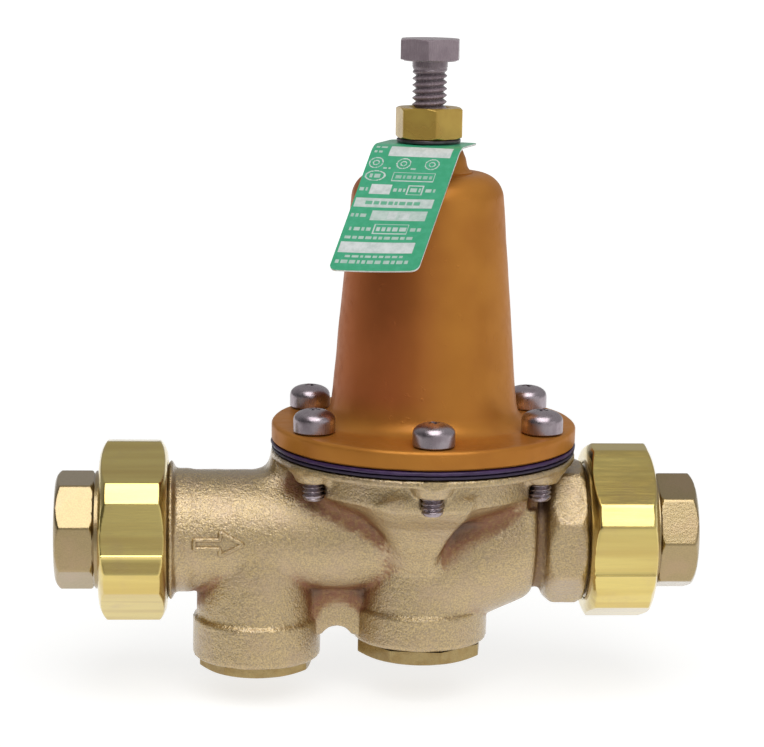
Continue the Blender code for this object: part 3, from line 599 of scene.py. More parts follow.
def make_materials():
    """Every material by name; most are named after the slot of the pieces that wear them."""
    along_x, even = (0.05, 1, 1), (1, 1, 1)
    recipes = {
        "cast_bronze": (cast_bronze, 0.5, (0.53, 0.355, 0.105), (0.32, 0.21, 0.065), 2.3),
        "tail_bronze": (cast_bronze, 0.36, (0.36, 0.25, 0.083), (0.31, 0.215, 0.07), 1.85, 0.14, False),
        "union_brass": (polished_brass, (0.72, 0.56, 0.145), along_x, 0.17),
        "plug_brass": (polished_brass, (0.36, 0.26, 0.105), even, 0.34, 0.3),
        "lock_nut_brass": (lacquered_brass,),
        "bolt_steel": (plated_steel, (0.29, 0.23, 0.255), 0.25, (0.24, 0.185, 0.21), 0.2),
        "screw_steel": (plated_steel, (0.44, 0.38, 0.41), 0.29, (0.34, 0.28, 0.31)),
        "dark_steel": (plated_steel, (0.13, 0.12, 0.13), 0.4, (0.07, 0.06, 0.07)),
        "spring_steel": (plated_steel, (0.28, 0.28, 0.30), 0.32, (0.16, 0.16, 0.18)),
        "stainless": (plated_steel, (0.60, 0.60, 0.60), 0.26, (0.50, 0.49, 0.48)),
        "bonnet_paint": (bonnet_enamel,),
        "diaphragm_rubber": (rubber, (0.030, 0.009, 0.055), 0.42),
        "gasket_rubber": (rubber, (0.018, 0.009, 0.030), 0.55),
        "fibre": (grained, 0.0, (0.7, 4, 0.7, (1, 0.35, 1)), (0.35, 0.65),
                  ((0.17, 0.075, 0.04), (0.30, 0.15, 0.08)), (0.65, 0.85), (0.06, 0.6)),
        "tag_paint": (tag_print,),
        "tag_edge": (grained, 1.0, (0.4, 2, 0.6, (1, 0.05, 1)), (0.3, 0.7),
                     ((0.66, 0.66, 0.64), (0.54, 0.54, 0.52)), (0.3, 0.46), (0.008, 0.4)),
    }
    return {name: make(name, *values) for name, (make, *values) in recipes.items()}


def finish_piece(obj, material, body, nodes=()):
    """Gives a new piece its material, body, stand-in nodes and material slot."""
    obj.data.materials.clear()
    obj.data.materials.append(MATERIALS[material])
    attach(obj, body)
    if nodes:
        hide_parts(*nodes)
    return obj


# ------------------------------------------------------------------ body casting


def polygon_distance(points, px, pz):
    """Signed distance, negative inside, from a closed polygon in the plane."""
    points = np.array(points, np.float32)
    best = np.full(np.broadcast(px, pz).shape, 1e9, np.float32)
    inside = np.zeros(best.shape, bool)
    for a, b in zip(points, np.roll(points, -1, 0)):
        edge = b - a
        if not edge.any():
            continue
        wx, wz = px - a[0], pz - a[1]
        t = np.clip((wx * edge[0] + wz * edge[1]) / float(edge @ edge), 0, 1)
        best = np.minimum(best, (wx - edge[0] * t) ** 2 + (wz - edge[1] * t) ** 2)
        crosses = (a[1] > pz) != (b[1] > pz)
        if a[1] != b[1]:
            inside ^= crosses & (px < (b[0] - a[0]) * (pz - a[1]) / (b[1] - a[1]) + a[0])
    return np.sqrt(best) * np.where(inside, -1, 1)


class Casting:
    """A solid as signed distances on a grid, so that joined shapes blend with fillets."""

    def __init__(self, low, high, step):
        self.step, self.low = step, np.array(low, np.float32)
        x, y, z = (np.arange(a, b, step, dtype=np.float32) for a, b in zip(low, high))
        self.x, self.y, self.z = x[:, None, None], y[None, :, None], z[None, None, :]
        self.field = np.full((len(x), len(y), len(z)), 99.0, np.float32)

    def turned(self, outline, radius, along, axis):
        """Distance from an outline of (radius, height) turned about an axis of the grid."""
        samples = np.arange(0, radius.max() + 1, 0.25, dtype=np.float32)
        mirrored = list(outline) + [(-r, z) for r, z in reversed(outline)]
        table = polygon_distance(mirrored, samples[:, None], along)
        return np.stack([np.interp(radius, samples, column) for column in table.T], axis).astype(np.float32)

    def turned_z(self, outline, centre=(0.0, 0.0)):
        """Distance from an outline of (radius, z) turned about a vertical axis."""
        radius = np.sqrt((self.x - centre[0]) ** 2 + (self.y - centre[1]) ** 2)[:, :, 0]
        return self.turned(outline, radius, self.z[0], -1)

    def turned_x(self, outline):
        """Distance from an outline of (radius, x) turned about the pipe axis."""
        return self.turned(outline, np.sqrt(self.y ** 2 + self.z ** 2)[0], self.x[:, 0].T, 0)

    def rod_x(self, radius, low, high, z=0.0):
        ring = np.sqrt(self.y ** 2 + (self.z - z) ** 2) - radius
        return np.maximum(ring, np.maximum(low - self.x, self.x - high))

    def rod_z(self, radius, low, high, centre=(0.0, 0.0)):
        ring = np.sqrt((self.x - centre[0]) ** 2 + (self.y - centre[1]) ** 2) - radius
        return np.maximum(ring, np.maximum(low - self.z, self.z - high))

    def block(self, low, high, rounding):
        """A box with rounded edges."""
        low, high = np.array(low) + rounding, np.array(high) - rounding
        gaps = [np.maximum(low[i] - axis, axis - high[i]) for i, axis in enumerate((self.x, self.y, self.z))]
        outside = np.sqrt(sum(np.maximum(g, 0) ** 2 for g in gaps))
        inside = np.minimum(np.maximum(np.maximum(gaps[0], gaps[1]), gaps[2]), 0)
        return outside + inside - rounding

    def round_cone(self, a, b, radius_a, radius_b):
        """A solid that tapers from one ball to another, with both centres in the plane y = 0."""
        axis = np.array([b[0] - a[0], b[1] - a[1]], np.float32)
        t = np.clip(((self.x - a[0]) * axis[0] + (self.z - a[1]) * axis[1]) / float(axis @ axis), 0, 1)
        dx, dz = self.x - a[0] - axis[0] * t, self.z - a[1] - axis[1] * t
        return np.sqrt(dx ** 2 + self.y ** 2 + dz ** 2) - (radius_a + (radius_b - radius_a) * t)

    def add(self, shape, blend=0.4):
        self.field = soft_min(self.field, shape, blend)

    def remove(self, shape, blend=0.4):
        self.field = -soft_min(-self.field, shape, blend)

    def hollow(self, points, filled, radius):
        """How much of the space near each point is filled: a half on a flat, more in a hollow."""
        solid = filled.astype(np.float32)
        width = max(1, round(radius / self.step / 2))
        for axis in range(3):
            for _ in range(2):
                margins = [(0, 0)] * 3
                margins[axis] = (width + 1, width)
                total = np.cumsum(np.pad(solid, margins, "edge"), axis)
                window, start = 2 * width + 1, np.arange(solid.shape[axis])
                solid = (np.take(total, start + window, axis) - np.take(total, start, axis)) / window
        index = np.clip(np.rint((points - self.low) / self.step).astype(int), 0, np.array(solid.shape) - 1)
        return solid[index[:, 0], index[:, 1], index[:, 2]]

    def surface(self):
        """Points and faces of the solid's skin: one point in each cell that the skin crosses."""
        field = self.field
        corner = {}
        for bits in range(8):
            i, j, k = bits & 1, bits >> 1 & 1, bits >> 2 & 1
            end = np.array(field.shape) - 1 + (i, j, k)
            corner[i, j, k] = field[i:end[0], j:end[1], k:end[2]]
        inside = sum((value < 0).astype(np.int8) for value in corner.values())
        cells = (inside > 0) & (inside < 8)
        number = np.full(cells.shape, -1)
        number[cells] = np.arange(cells.sum())
        total = np.zeros((int(cells.sum()), 3), np.float32)
        crossings = np.zeros(len(total), np.float32)
        for start in sorted(corner):
            for axis in range(3):
                if start[axis]:
                    continue
                end = start[:axis] + (1,) + start[axis + 1:]
                a, b = corner[start][cells], corner[end][cells]
                crossed = (a < 0) != (b < 0)
                place = np.tile(np.array(start, np.float32), (len(a), 1))
                place[:, axis] = a / np.where(crossed, a - b, 1)
                total += place * crossed[:, None]
                crossings += crossed
        base = np.argwhere(cells).astype(np.float32)
        points = self.low + (base + total / crossings[:, None]) * self.step
        faces = []
        here = field < 0
        for axis in range(3):
            u, v = (axis + 1) % 3, (axis + 2) % 3
            edges = np.argwhere(np.diff(here, axis=axis))
            edges = edges[(edges[:, u] > 0) & (edges[:, v] > 0)]
            edges = edges[(edges[:, u] < cells.shape[u]) & (edges[:, v] < cells.shape[v])]
            quad = []
            for du, dv in ((1, 1), (0, 1), (0, 0), (1, 0)):
                cell = edges.copy()
                cell[:, u] -= du
                cell[:, v] -= dv
                quad.append(number[cell[:, 0], cell[:, 1], cell[:, 2]])
            quad = np.stack(quad, -1)
            leaving = here[edges[:, 0], edges[:, 1], edges[:, 2]]
            quad[~leaving] = quad[~leaving][:, ::-1]
            faces.append(quad)
        return points, np.concatenate(faces)


def ring_outline(radius, top, bottom):
    """The band round the foot of a boss, as (radius, z)."""
    return [
        (0, bottom), (radius - 0.7, bottom), (radius, bottom + 0.7), (radius, top - 0.5),
        (radius - 0.4, top), (0, top),
    ]


def cavity_outline(cavity_r, top, bottom):
    """A boss cavity open at the bottom, with its thread bore and the groove for the plug's O-ring."""
    thread_r, thread_top = PLUG_THREAD_R + GAP, bottom + PLUG_THREAD_LENGTH + 1
    return [
        (0, bottom - 3), (SEAL_GROOVE_R, bottom - 3), (SEAL_GROOVE_R, bottom + SEAL_GROOVE_DEPTH),
        (thread_r, bottom + SEAL_GROOVE_DEPTH), (thread_r, thread_top), (cavity_r, thread_top),
        (cavity_r, top), (0, top),
    ]


def outlet_swell(c):
    """The rounded body between the seat boss and the wrench collar."""
    swell = c.round_cone((6.0, -10.0), (30.0, 2.0), 18.3, 19.5)
    c.add(-soft_min(-swell, -(c.x - 31.6), 3.0), 1.8)


def arched_web(c):
    """The plate that joins the two bosses, with a round arch below."""
    web = c.block((-34.0, -7.5, -29.5), (-14.0, 7.5, -6.0), 1.0)
    arch = np.sqrt((c.x + 24.4) ** 2 + (c.z + 31.4) ** 2) - 4.7
    c.add(-soft_min(-web, arch, 1.0), 1.0)


def bowl_rib(c):
    """The rib that runs from the bowl's edge down to the seat boss; its outlet side is the crisper one."""
    profile = [(-34.0, 16.0), (-33.6, 13.6), (-27.0, 7.0), (-19.0, -7.0), (0.0, -12.0), (0.0, 16.0)]
    rib = polygon_distance(profile, -np.abs(c.y[0]), c.z[0])[None]
    rib = -soft_min(-rib, c.x + 12.0 + 0.3 * c.z, 9.0)
    rib = -soft_min(-rib, -(c.x - 4.5 - 0.41 * c.z), 1.6)
    c.add(rib, 3.0)


def flange_root(c):
    """The fillet that carries the top of the inlet barrel up into the flange."""
    profile = [(-46.2, 16.0), (-44.6, 18.2), (-43.4, 22.4), (-20.0, 22.4), (-20.0, 8.0), (-46.2, 8.0)]
    root = polygon_distance(profile, c.x[:, 0], c.z[0])[:, None, :]
    c.add(-soft_min(-root, -(np.abs(c.y) - 8.0), 6.0), 3.0)


def bowl_and_flange(c):
    """The bowl under the diaphragm, its flange, and a boss under each screw."""
    c.add(c.turned_z([(0, 5.0), (24.0, 8.0), (31.0, 12.0), (33.6, 14.4), (33.6, 20.0), (0, 20.0)]), 6.0)
    c.add(c.turned_z([
        (0, 14.2), (33.6, 13.7), (34.7, 13.9), (BOWL_R, BOWL_BOTTOM), (BOWL_R, FLANGE_BOTTOM - 1.2),
        (BOWL_R + 1.2, FLANGE_BOTTOM), (FLANGE_R - 0.3, FLANGE_BOTTOM), (FLANGE_R, FLANGE_BOTTOM + 0.3),
        (FLANGE_R, FLANGE_TOP), (0, FLANGE_TOP),
    ]), 0.9)
    boss = [(0, 18.2), (4.4, 18.2), (5.2, 19.0), (SCREW_BOSS_R, 21.6), (SCREW_BOSS_R, 23.6), (0, 23.6)]
    for i in range(SCREW_COUNT):
        c.add(c.turned_z(boss, on_screw_circle(i)[:2]), 2.0)


def wrench_collar(c, outlet_face):
    """The octagon at the outlet, behind a groove; its near corners are bevelled."""
    start, end, corner_r, first_corner = 34.7, 44.6, 21.2, 72.3
    collar = np.maximum(start - c.x, c.x - end)
    for distance, direction in regular(8, 2 * corner_r * math.cos(math.pi / 8), first_corner):
        a = math.radians(direction)
        collar = -soft_min(-collar, -(c.z * math.cos(a) - c.y * math.sin(a) - distance), 0.8)
    chamfer = (np.sqrt(c.y ** 2 + c.z ** 2) - 18.4 - (c.x - start)) * math.sqrt(0.5)
    collar = -soft_min(-collar, -chamfer, 0.8)
    c.add(c.rod_x(16.3, 20.0, outlet_face - GAP), 0.8)
    c.add(collar, 2.0)


def casting_outside(c, inlet_face, outlet_face):
    """The outer shape of the body, with the fillets that a casting has."""
    strainer_top, seat_top = -24.6, -21.2
    c.add(c.rod_x(BARREL_R, -inlet_face + 1.0, 30.0))
    c.add(c.rod_z(17.3, STRAINER_MOUTH + 1, 0.0, (STRAINER_X, 0.0)), 0.8)
    c.add(c.rod_z(18.5, SEAT_MOUTH + 1, 5.0), 0.8)
    outlet_swell(c)
    arched_web(c)
    bowl_rib(c)
    flange_root(c)
    bowl_and_flange(c)
    wrench_collar(c, outlet_face)
    c.add(c.turned_z(ring_outline(18.4, strainer_top, STRAINER_MOUTH), (STRAINER_X, 0.0)), 0.3)
    c.add(c.turned_z(ring_outline(19.4, seat_top, SEAT_MOUTH)), 0.3)


def casting_ends(c, face, thread_end, side):
    """A shoulder ring and the core of the spigot's thread; side is -1 at the inlet and 1 at the outlet."""
    shoulder = face - GAP
    start = shoulder - SHOULDER_LENGTH
    core = SPIGOT_R - UNION_DEPTH - 0.25
    outline = [
        (0, start - 4), (BARREL_R - 0.6, start - 4), (BARREL_R - 0.6, start), (SHOULDER_R - 0.3, start + 0.2),
        (SHOULDER_R, start + 0.6), (SHOULDER_R, shoulder - 0.3), (SHOULDER_R - 0.4, shoulder),
        (core, shoulder), (core, thread_end - 0.4), (core - 0.4, thread_end), (0, thread_end),
    ]
    c.add(c.turned_x([(r, x * side) for r, x in outline]), 2.4)


def casting_inside(c, thread_ends):
    """The way through the body, and the bores for the plugs and the screws."""
    bridge_top, bridge_bottom = -0.8, -5.0  # the wall that holds the seat ring
    # From the inlet down through the strainer's middle
    c.remove(c.rod_x(BORE_R, -thread_ends[0] - 2, -63.0))
    c.remove(c.rod_x(5.5, -64.0, -44.0, 3.8), 1.5)
    c.remove(c.rod_z(8.3, bridge_bottom - 1, 10.0, (STRAINER_X, 0.0)), 1.0)
    c.remove(c.turned_z(cavity_outline(13.0, bridge_bottom, STRAINER_MOUTH), (STRAINER_X, 0.0)))
    # Across to the chamber below the seat, and up through the seat
    c.remove(c.rod_x(5.0, -42.0, -5.0, -10.6), 1.5)
    c.remove(c.turned_z(cavity_outline(13.5, bridge_bottom, SEAT_MOUTH)))
    c.remove(c.rod_z(9.3, bridge_bottom - 1, bridge_top + 1))
    # The bowl under the diaphragm, and out
    c.remove(c.turned_z([(0, bridge_top), (12.0, bridge_top), (12.0, 14.5), (27.0, 17.5), (29.0, 18.5),
                         (29.0, FLANGE_TOP + 2), (0, FLANGE_TOP + 2)]))
    c.remove(c.rod_x(6.0, 5.0, 23.0, 6.0), 1.5)
    c.remove(c.rod_x(BORE_R, 21.0, thread_ends[1] + 2), 1.0)
    for i in range(SCREW_COUNT):
        c.remove(c.rod_z(SCREW_HOLE_R, 10.0, 30.0, on_screw_circle(i)[:2]), 0.3)


def body_casting():
    """The bronze body, meshed from the blended shapes."""
    low, high = box_mm("body")
    inlet_face, outlet_face = ends("inlet_union_nut")[0], ends("outlet_union_nut")[0]
    c = Casting(low - 2.0, high + 2.0, BODY_STEP)
    casting_outside(c, inlet_face, outlet_face)
    for a, b, d, phase in CASTING_WAVES:
        c.field += SKIN_WAVE * np.sin(c.x * a + c.y * b + c.z * d + phase)
    casting_ends(c, inlet_face, -low[0], -1)
    casting_ends(c, outlet_face, high[0], 1)
    c.field = np.maximum(c.field, c.z - FLANGE_TOP)
    filled = c.field < 0
    casting_inside(c, (-low[0], high[0]))
    points, faces = c.surface()
    points = np.clip(points, low, high)
    body = mesh_object("body_casting", points, faces.tolist(), sharp=60.0, recalculate=False)
    # The hollow value drives the painted shade in the casting's hollows.
    paint(body, "hollow", c.hollow(points, filled, HOLLOW_REACH))
    finish_piece(body, "cast_bronze", "valve_body", ["body"])
    spigot_thread("inlet", inlet_face, -low[0], "-X")
    spigot_thread("outlet", outlet_face, high[0], "X")


def spigot_thread(side, face, end, along):
    """The thread that the union nut turns on, as a sleeve round the body's spigot."""
    start, inner = face + 0.1, SPIGOT_R - UNION_DEPTH - 0.6
    outline = [
        (inner, start), (SPIGOT_R - 0.5, start), (SPIGOT_R, start + 0.5), (SPIGOT_R, end - 1.2),
        (SPIGOT_R - 1.2, end), (inner, end),
    ]
    outline = refined(outline, 0.8, (SPIGOT_R, UNION_PITCH / 14))
    cut = thread(SPIGOT_R, start + 0.6, end - 0.4, UNION_PITCH, UNION_DEPTH)
    sleeve = turned(f"{side}_spigot_thread", outline, spread_angles(coarse=2.5), None, [cut], along)
    finish_piece(sleeve, "tail_bronze", "valve_body")


def flow_arrow():
    """A raised bead in the outline of an arrow, following the barrel's surface."""
    tail, head, tip, shaft, wide = -65.2, -57.9, -51.4, 1.3, 3.5
    corners = [(tail, -shaft), (head, -shaft), (head, -wide), (tip, 0)]
    corners += [(x, -z) for x, z in reversed(corners[:3])]
    path = []
    for (x0, z0), (x1, z1) in zip(corners, corners[1:] + corners[:1]):
        steps = max(2, round(math.hypot(x1 - x0, z1 - z0) / 0.4))
        path += [(x0 + (x1 - x0) * i / steps, z0 + (z1 - z0) * i / steps) for i in range(steps)]
    path = np.array(path)
    smooth = (np.roll(path, 1, 0) + 2 * path + np.roll(path, -1, 0)) / 4
    tangent = np.roll(smooth, -1, 0) - np.roll(smooth, 1, 0)
    tangent /= np.linalg.norm(tangent, axis=1)[:, None]
    points, around, half_width, rise = [], 10, 0.75, 0.85
    for (x, z), (tx, tz) in zip(smooth, tangent):
        for k in range(around):
            a = 2 * math.pi * k / around
            px, pz = x - tz * half_width * math.cos(a), z + tx * half_width * math.cos(a)
            surface = math.sqrt(BARREL_R ** 2 - pz * pz)
            points.append((px, -(surface - 0.12 + rise * math.sin(a)), pz))
    arrow = mesh_object("flow_arrow", points, tube_faces(len(smooth), around, closed=True), 80.0)
    finish_piece(arrow, "cast_bronze", "valve_body")


# ------------------------------------------------------------------ bonnet and flange stack


def bonnet_shell():
    """The spring cage: flange, tapered wall, domed shoulder and neck."""
    bottom, top = heights("bonnet")
    seat, wall_r, wall_z = 32.3, 26.0, 41.0
    shoulder_r, shoulder_z, shoulder = 21.5, 96.2, 7.3
    outline = [(FLANGE_R - 0.5, bottom), (FLANGE_R, bottom + 0.5)]
    outline += arc(FLANGE_R - 1.2, seat - 1.2, 1.2, 1.2, 0, 90, 6)
    outline += [(36.0, seat), (32.4, seat + 0.2)]
    outline += arc(31.6, 38.4, 5.1, 5.8, 262, 188, 12)
    outline += [(wall_r, wall_z + 0.6)]
    outline += arc(shoulder_r - shoulder, shoulder_z, shoulder, shoulder, 3, 88, 16)
    outline += [(12.6, 103.6)]
    outline += arc(12.9, 106.2, 2.0, 2.4, 262, 190, 5)
    outline += [(10.6, 107.4), (9.7, 109.5), (9.0, top - 0.4), (8.6, top)]
    outline += [(5.2, top), (5.2, 98.5), (14.0, 98.0), (17.6, 94.5)]
    outline += [(21.8, wall_z), (25.2, 36.0), (29.0, 31.0), (29.0, bottom)]
    shell = turned("bonnet_shell", refined(outline, 1.6), spread_angles(coarse=2.0), uneven=(14.0, 0.07, 5))
    cut_away(shell, [pin(SCREW_HOLE_R, 20, 36, 15, on_screw_circle(i)) for i in range(SCREW_COUNT)])
    finish_piece(shell, "bonnet_paint", "valve_body", ["bonnet"])


def clamped_ring(name, node, inner, outer_r, material, seed, ragged):
    """A clamped ring with a ragged, bulged rim; inner runs down its inner side, as (radius, height)."""
    top, bottom = inner[0][1], inner[-1][1]
    bulge = (top - bottom) / 2
    outline = [(outer_r - bulge, bottom)]
    outline += arc(outer_r - bulge, (bottom + top) / 2, bulge, bulge, -75, 75, 6)
    outline += [(outer_r - bulge, top), *inner]
    ring = turned(name, refined(outline, 3.0), spread_angles(coarse=1.0), uneven=(3.0, ragged, seed))
    finish_piece(ring, material, "valve_body", [node])


def half_fold(side):
    """One side of the fold round the diaphragm: down along its top, and back along its underside."""
    upper = arc(FOLD_R, DIAPHRAGM_TOP, 1.9, 1.5, side, 270, 6)
    return upper + arc(FOLD_R, DIAPHRAGM_BOTTOM, 1.9, 2.2, 270, side, 6)


def flange_seals():
    """The gasket, and the diaphragm in two pieces: its rim, and its middle, which rides the stem."""
    bottom, top = heights("diaphragm_gasket")
    inner = [(30.0, top), (30.0, bottom)]
    clamped_ring("flange_gasket", "diaphragm_gasket", inner, 43.3, "gasket_rubber", 3, 0.05)
    clamped_ring("flange_diaphragm", "diaphragm", half_fold(360), 43.55, "diaphragm_rubber", 8, 0.09)
    outline = [(STEM_HOLE_R, DIAPHRAGM_TOP), *half_fold(180), (STEM_HOLE_R, DIAPHRAGM_BOTTOM)]
    middle = turned("diaphragm_middle", refined(outline, 2.0), spread_angles(coarse=3.0))
    finish_piece(middle, "diaphragm_rubber", "stem_assembly")


def recess_arm(head_top, turn):
    """A cutter for one arm of a cross recess, shorter at its bottom; turn is in degrees."""
    points = [
        (x * half_length, y * 0.45, z)
        for z, half_length in ((head_top - 2.2, 1.1), (head_top + 1.0, 2.0))
        for x, y in ((-1, -1), (1, -1), (1, 1), (-1, 1))
    ]
    rotation = np.array(Matrix.Rotation(math.radians(turn), 3, "Z"))
    return mesh_object("recess_arm", np.array(points) @ rotation.T, tube_faces(2, 4))


def cap_screws():
    """Pan-head screws with a cross recess, and the thread that shows under the flange."""
    low, high = box_mm("cap_screw_1")
    head_r, head_top, end = (high[0] - low[0]) / 2, high[2], low[2]
    head_bottom, shank_r, dome = 32.6, 3.1, 3.3
    head = [(shank_r, head_bottom), (head_r - 0.35, head_bottom), (head_r, head_bottom + 0.35)]
    for a in np.linspace(0, math.pi / 2, 14):
        head.append((head_r * math.cos(a) ** 0.85, head_top - dome + dome * math.sin(a) ** 0.85))
    head[-1] = (0, head_top)
    outline = [(0, end), (shank_r - 0.7, end), (shank_r, end + 0.7), *head]
    outline = refined(outline, 0.5, (shank_r, SCREW_PITCH / 12))
    cut = thread(shank_r, end + 0.5, 24.0, SCREW_PITCH, SCREW_DEPTH)
    screw = turned("cap_screw_model", outline, spread_angles(coarse=6.0), None, [cut])
    cut_away(screw, [recess_arm(head_top, turn) for turn in (0, 90)], 40.0)
    for i in range(SCREW_COUNT):
        placed = add_object(f"pan_head_screw_{i + 1}", screw.data.copy())
        turn = Matrix.Rotation(math.radians(17 + 47 * i), 4, "Z")
        placed.data.transform(Matrix.Translation(Vector(on_screw_circle(i)) * MM) @ turn)
        finish_piece(placed, "screw_steel", "valve_body", [f"cap_screw_{i + 1}"])
    bpy.data.objects.remove(screw)


# ------------------------------------------------------------------ adjusting gear


def bolt():
    """Hexagon head bolt with its thread and washer face."""
    tip, top = heights("adjusting_bolt")
    head_bottom, radius, across, corner = 134.85, 4.86, 16.1, -97.0
    corner_r = across / math.sqrt(3)
    outline = [
        (0, tip), (radius - 1.4, tip), (radius, tip + 1.4), (radius, head_bottom - 2.0),
        (radius + 0.1, head_bottom - 1.9), (radius + 0.1, head_bottom - 0.3), (7.4, head_bottom - 0.25),
        (7.6, head_bottom, 1), (corner_r + 0.2, head_bottom + 0.25, 1), (corner_r + 0.2, top - 0.6, 1),
        (corner_r - 1.2, top, 1), (0, top),
    ]
    outline = refined(outline, 0.35, (radius, BOLT_PITCH / 16))
    cut = thread(radius, tip + 0.3, head_bottom - 2.2, BOLT_PITCH, BOLT_DEPTH)
    piece = prism("hex_bolt", outline, 6, across, corner, EDGE_SOFTNESS, (4.0, 0.7, 2.8), cuts=[cut])
    finish_piece(piece, "bolt_steel", "adjusting_bolt", ["adjusting_bolt"])


def jam_nut():
    """The tall lock nut on the bolt, and its washer."""
    bottom, top = heights("lock_nut")
    across, corner, bore = 17.1, -81.0, 5.16
    corner_r = across / math.sqrt(3)
    outline = [
        (bore, bottom), (corner_r - 0.9, bottom, 1), (corner_r + 0.1, bottom + 0.5, 1),
        (corner_r + 0.1, top - 0.6, 1), (corner_r - 1.1, top, 1), (bore + 0.7, top), (bore, top - 0.7),
    ]
    nut = prism("jam_nut", refined(outline, 0.3), 6, across, corner, 0.7, (3.0, 0.5, 2.5))
    finish_piece(nut, "lock_nut_brass", "lock_nut", ["lock_nut"])
    bottom, top = heights("lock_washer")
    ring = refined(soften([(bore, bottom), (9.0, bottom), (9.0, top), (bore, top)], 0.25), 0.8)
    washer = turned("washer", ring, spread_angles(coarse=3.0))
    finish_piece(washer, "dark_steel", "lock_washer", ["lock_washer"])


def main_spring():
    """The coil spring under the bolt, with closed ends."""
    bottom, top = heights("main_spring")
    wire_r, coil_r, turns, per_turn, around, travel = 2.2, 14.0, 6, 40, 16, 8.0
    closed, closed_rise = 0.9, 2 * wire_r + GAP  # turns of each closed end, and their rise
    lowest, highest = bottom + wire_r, top - wire_r
    t = np.linspace(0, turns, turns * per_turn + 1)
    z = np.interp(t, [0, closed, turns - closed, turns],
                  [lowest, lowest + closed_rise, highest - closed_rise, highest])
    points = []
    for a, height in zip(2 * math.pi * t, z):
        for b in np.linspace(0, 2 * math.pi, around, endpoint=False):
            r = coil_r + wire_r * math.cos(b)
            points.append((r * math.cos(a), r * math.sin(a), height + wire_r * math.sin(b)))
    spring = mesh_object("main_coil", points, tube_faces(len(t), around), 50.0)
    finish_piece(spring, "spring_steel", "valve_body", ["main_spring"])
    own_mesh(spring)


TAG_WIDTH, TAG_THICK, TAG_BOTTOM, TAG_CORNER_R = 25.4, 0.5, 111.2, 2.0
TAG_BACK, TAG_FRONT, TAG_SLOPED = 6.0, 7.5, 50.0  # lengths behind the bolt, in front of it, down the slope
TAG_BEND_R, TAG_SLOPE, TAG_TURN = 8.0, 39.5, 22.0  # its bend, and its slope and turn to the left, in degrees
TAG_TWIST, TAG_CUP = 4.0, 0.35  # how far the free end is twisted, in degrees, and how far its sides curl up
TAG_CELL = 0.22  # spacing of the tag's mesh, which carries its print


def tag_station(s):
    """Distance from the bolt axis, height and slope at a distance s along the tag from its back edge."""
    flat, bend = TAG_BACK + TAG_FRONT, TAG_BEND_R * math.radians(TAG_SLOPE)
    a = min(max(s - flat, 0) / bend, 1) * math.radians(TAG_SLOPE)
    run = min(s, flat) - TAG_BACK + TAG_BEND_R * math.sin(a)
    height = TAG_BOTTOM - TAG_BEND_R * (1 - math.cos(a))
    rest = max(s - flat - bend, 0)
    return run + rest * math.cos(a), height - rest * math.sin(a), a


class Print:
    """Marks on the tag, in millimetres across (0 in the middle) and down from the bend."""

    def __init__(self, across, down):
        self.across, self.down = across, down
        self.ink = np.zeros(np.broadcast(across, down).shape, np.float32)
        self.random = np.random.default_rng(12)

    def bar(self, left, right, top, bottom, tone=1.0):
        mark = (self.across > left) & (self.across < right) & (self.down > top) & (self.down < bottom)
        self.ink[mark] = tone

    def outline(self, left, right, top, bottom, line=0.35):
        self.bar(left, right, top, bottom, 0.75)
        self.bar(left + line, right - line, top + line, bottom - line, 0.0)

    def ellipse(self, x, y, half_width, half_height, line=0.35):
        size = np.sqrt(((self.across - x) / half_width) ** 2 + ((self.down - y) / half_height) ** 2)
        self.ink[(size < 1) & (size > 1 - line / half_height)] = 0.75

    def dashes(self, left, right, top, bottom, tone=0.6):
        """A row of short bars and gaps of uneven length."""
        x = left
        while x < right - 0.5:
            width = min(self.random.uniform(0.7, 2.0), right - x)
            self.bar(x, x + width, top, bottom, tone)
            x += width + 0.45


def tag_marks(across, down):
    """Plain bars, boxes and rings laid out like a data plate, with no lettering."""
    p = Print(across, down)
    p.dashes(-11.7, -8.3, 2.8, 3.8)
    p.dashes(-11.7, -9.2, 4.8, 5.8)
    p.bar(-7.2, 10.7, 2.7, 6.9)
    for x in (-10.0, -2.0, 6.2):
        p.ellipse(x, 9.6, 2.1, 2.1)
        p.ellipse(x, 9.6, 1.0, 1.0)
    for x in (-10.0, -2.0):
        p.dashes(x + 2.4, x + 4.6, 11.2, 11.9)
    p.ellipse(-9.0, 14.6, 3.0, 2.0)
    p.dashes(-10.5, -7.4, 13.9, 15.3)
    p.outline(-4.0, 8.2, 12.9, 16.4)
    p.dashes(-3.2, 7.6, 14.0, 15.3, 0.5)
    p.dashes(-12.2, -9.8, 19.2, 20.5)
    p.bar(-9.1, -3.1, 17.9, 21.6)
    p.dashes(-2.4, 1.0, 19.2, 20.5)
    p.outline(1.6, 6.2, 17.9, 21.6)
    p.dashes(2.4, 5.6, 19.0, 20.5)
    p.dashes(6.8, 9.8, 19.2, 20.5)
    p.bar(-12.2, 10.4, 23.0, 26.7, 0.72)
    p.dashes(-9.0, 6.6, 24.2, 25.5, 0.3)
    p.dashes(-12.0, -7.0, 29.0, 30.3)
    p.bar(-6.2, 9.8, 27.7, 31.4, 0.66)
    p.bar(-1.4, 1.2, 28.3, 30.8, 1.0)
    p.bar(2.2, 4.8, 28.3, 30.8, 1.0)
    p.dashes(-11.0, -4.9, 34.0, 35.3)
    p.outline(-4.2, 5.8, 32.7, 36.5)
    p.dashes(-3.4, 5.2, 33.9, 35.4, 0.7)
    p.dashes(6.4, 9.4, 34.0, 35.3)
    p.dashes(-11.4, 8.8, 37.3, 38.4)
    p.bar(-12.0, 9.2, 39.5, 43.6)
    p.dashes(-9.6, 7.0, 44.4, 45.3)
    p.dashes(-11.6, 9.0, 46.2, 47.4)
    return p.ink


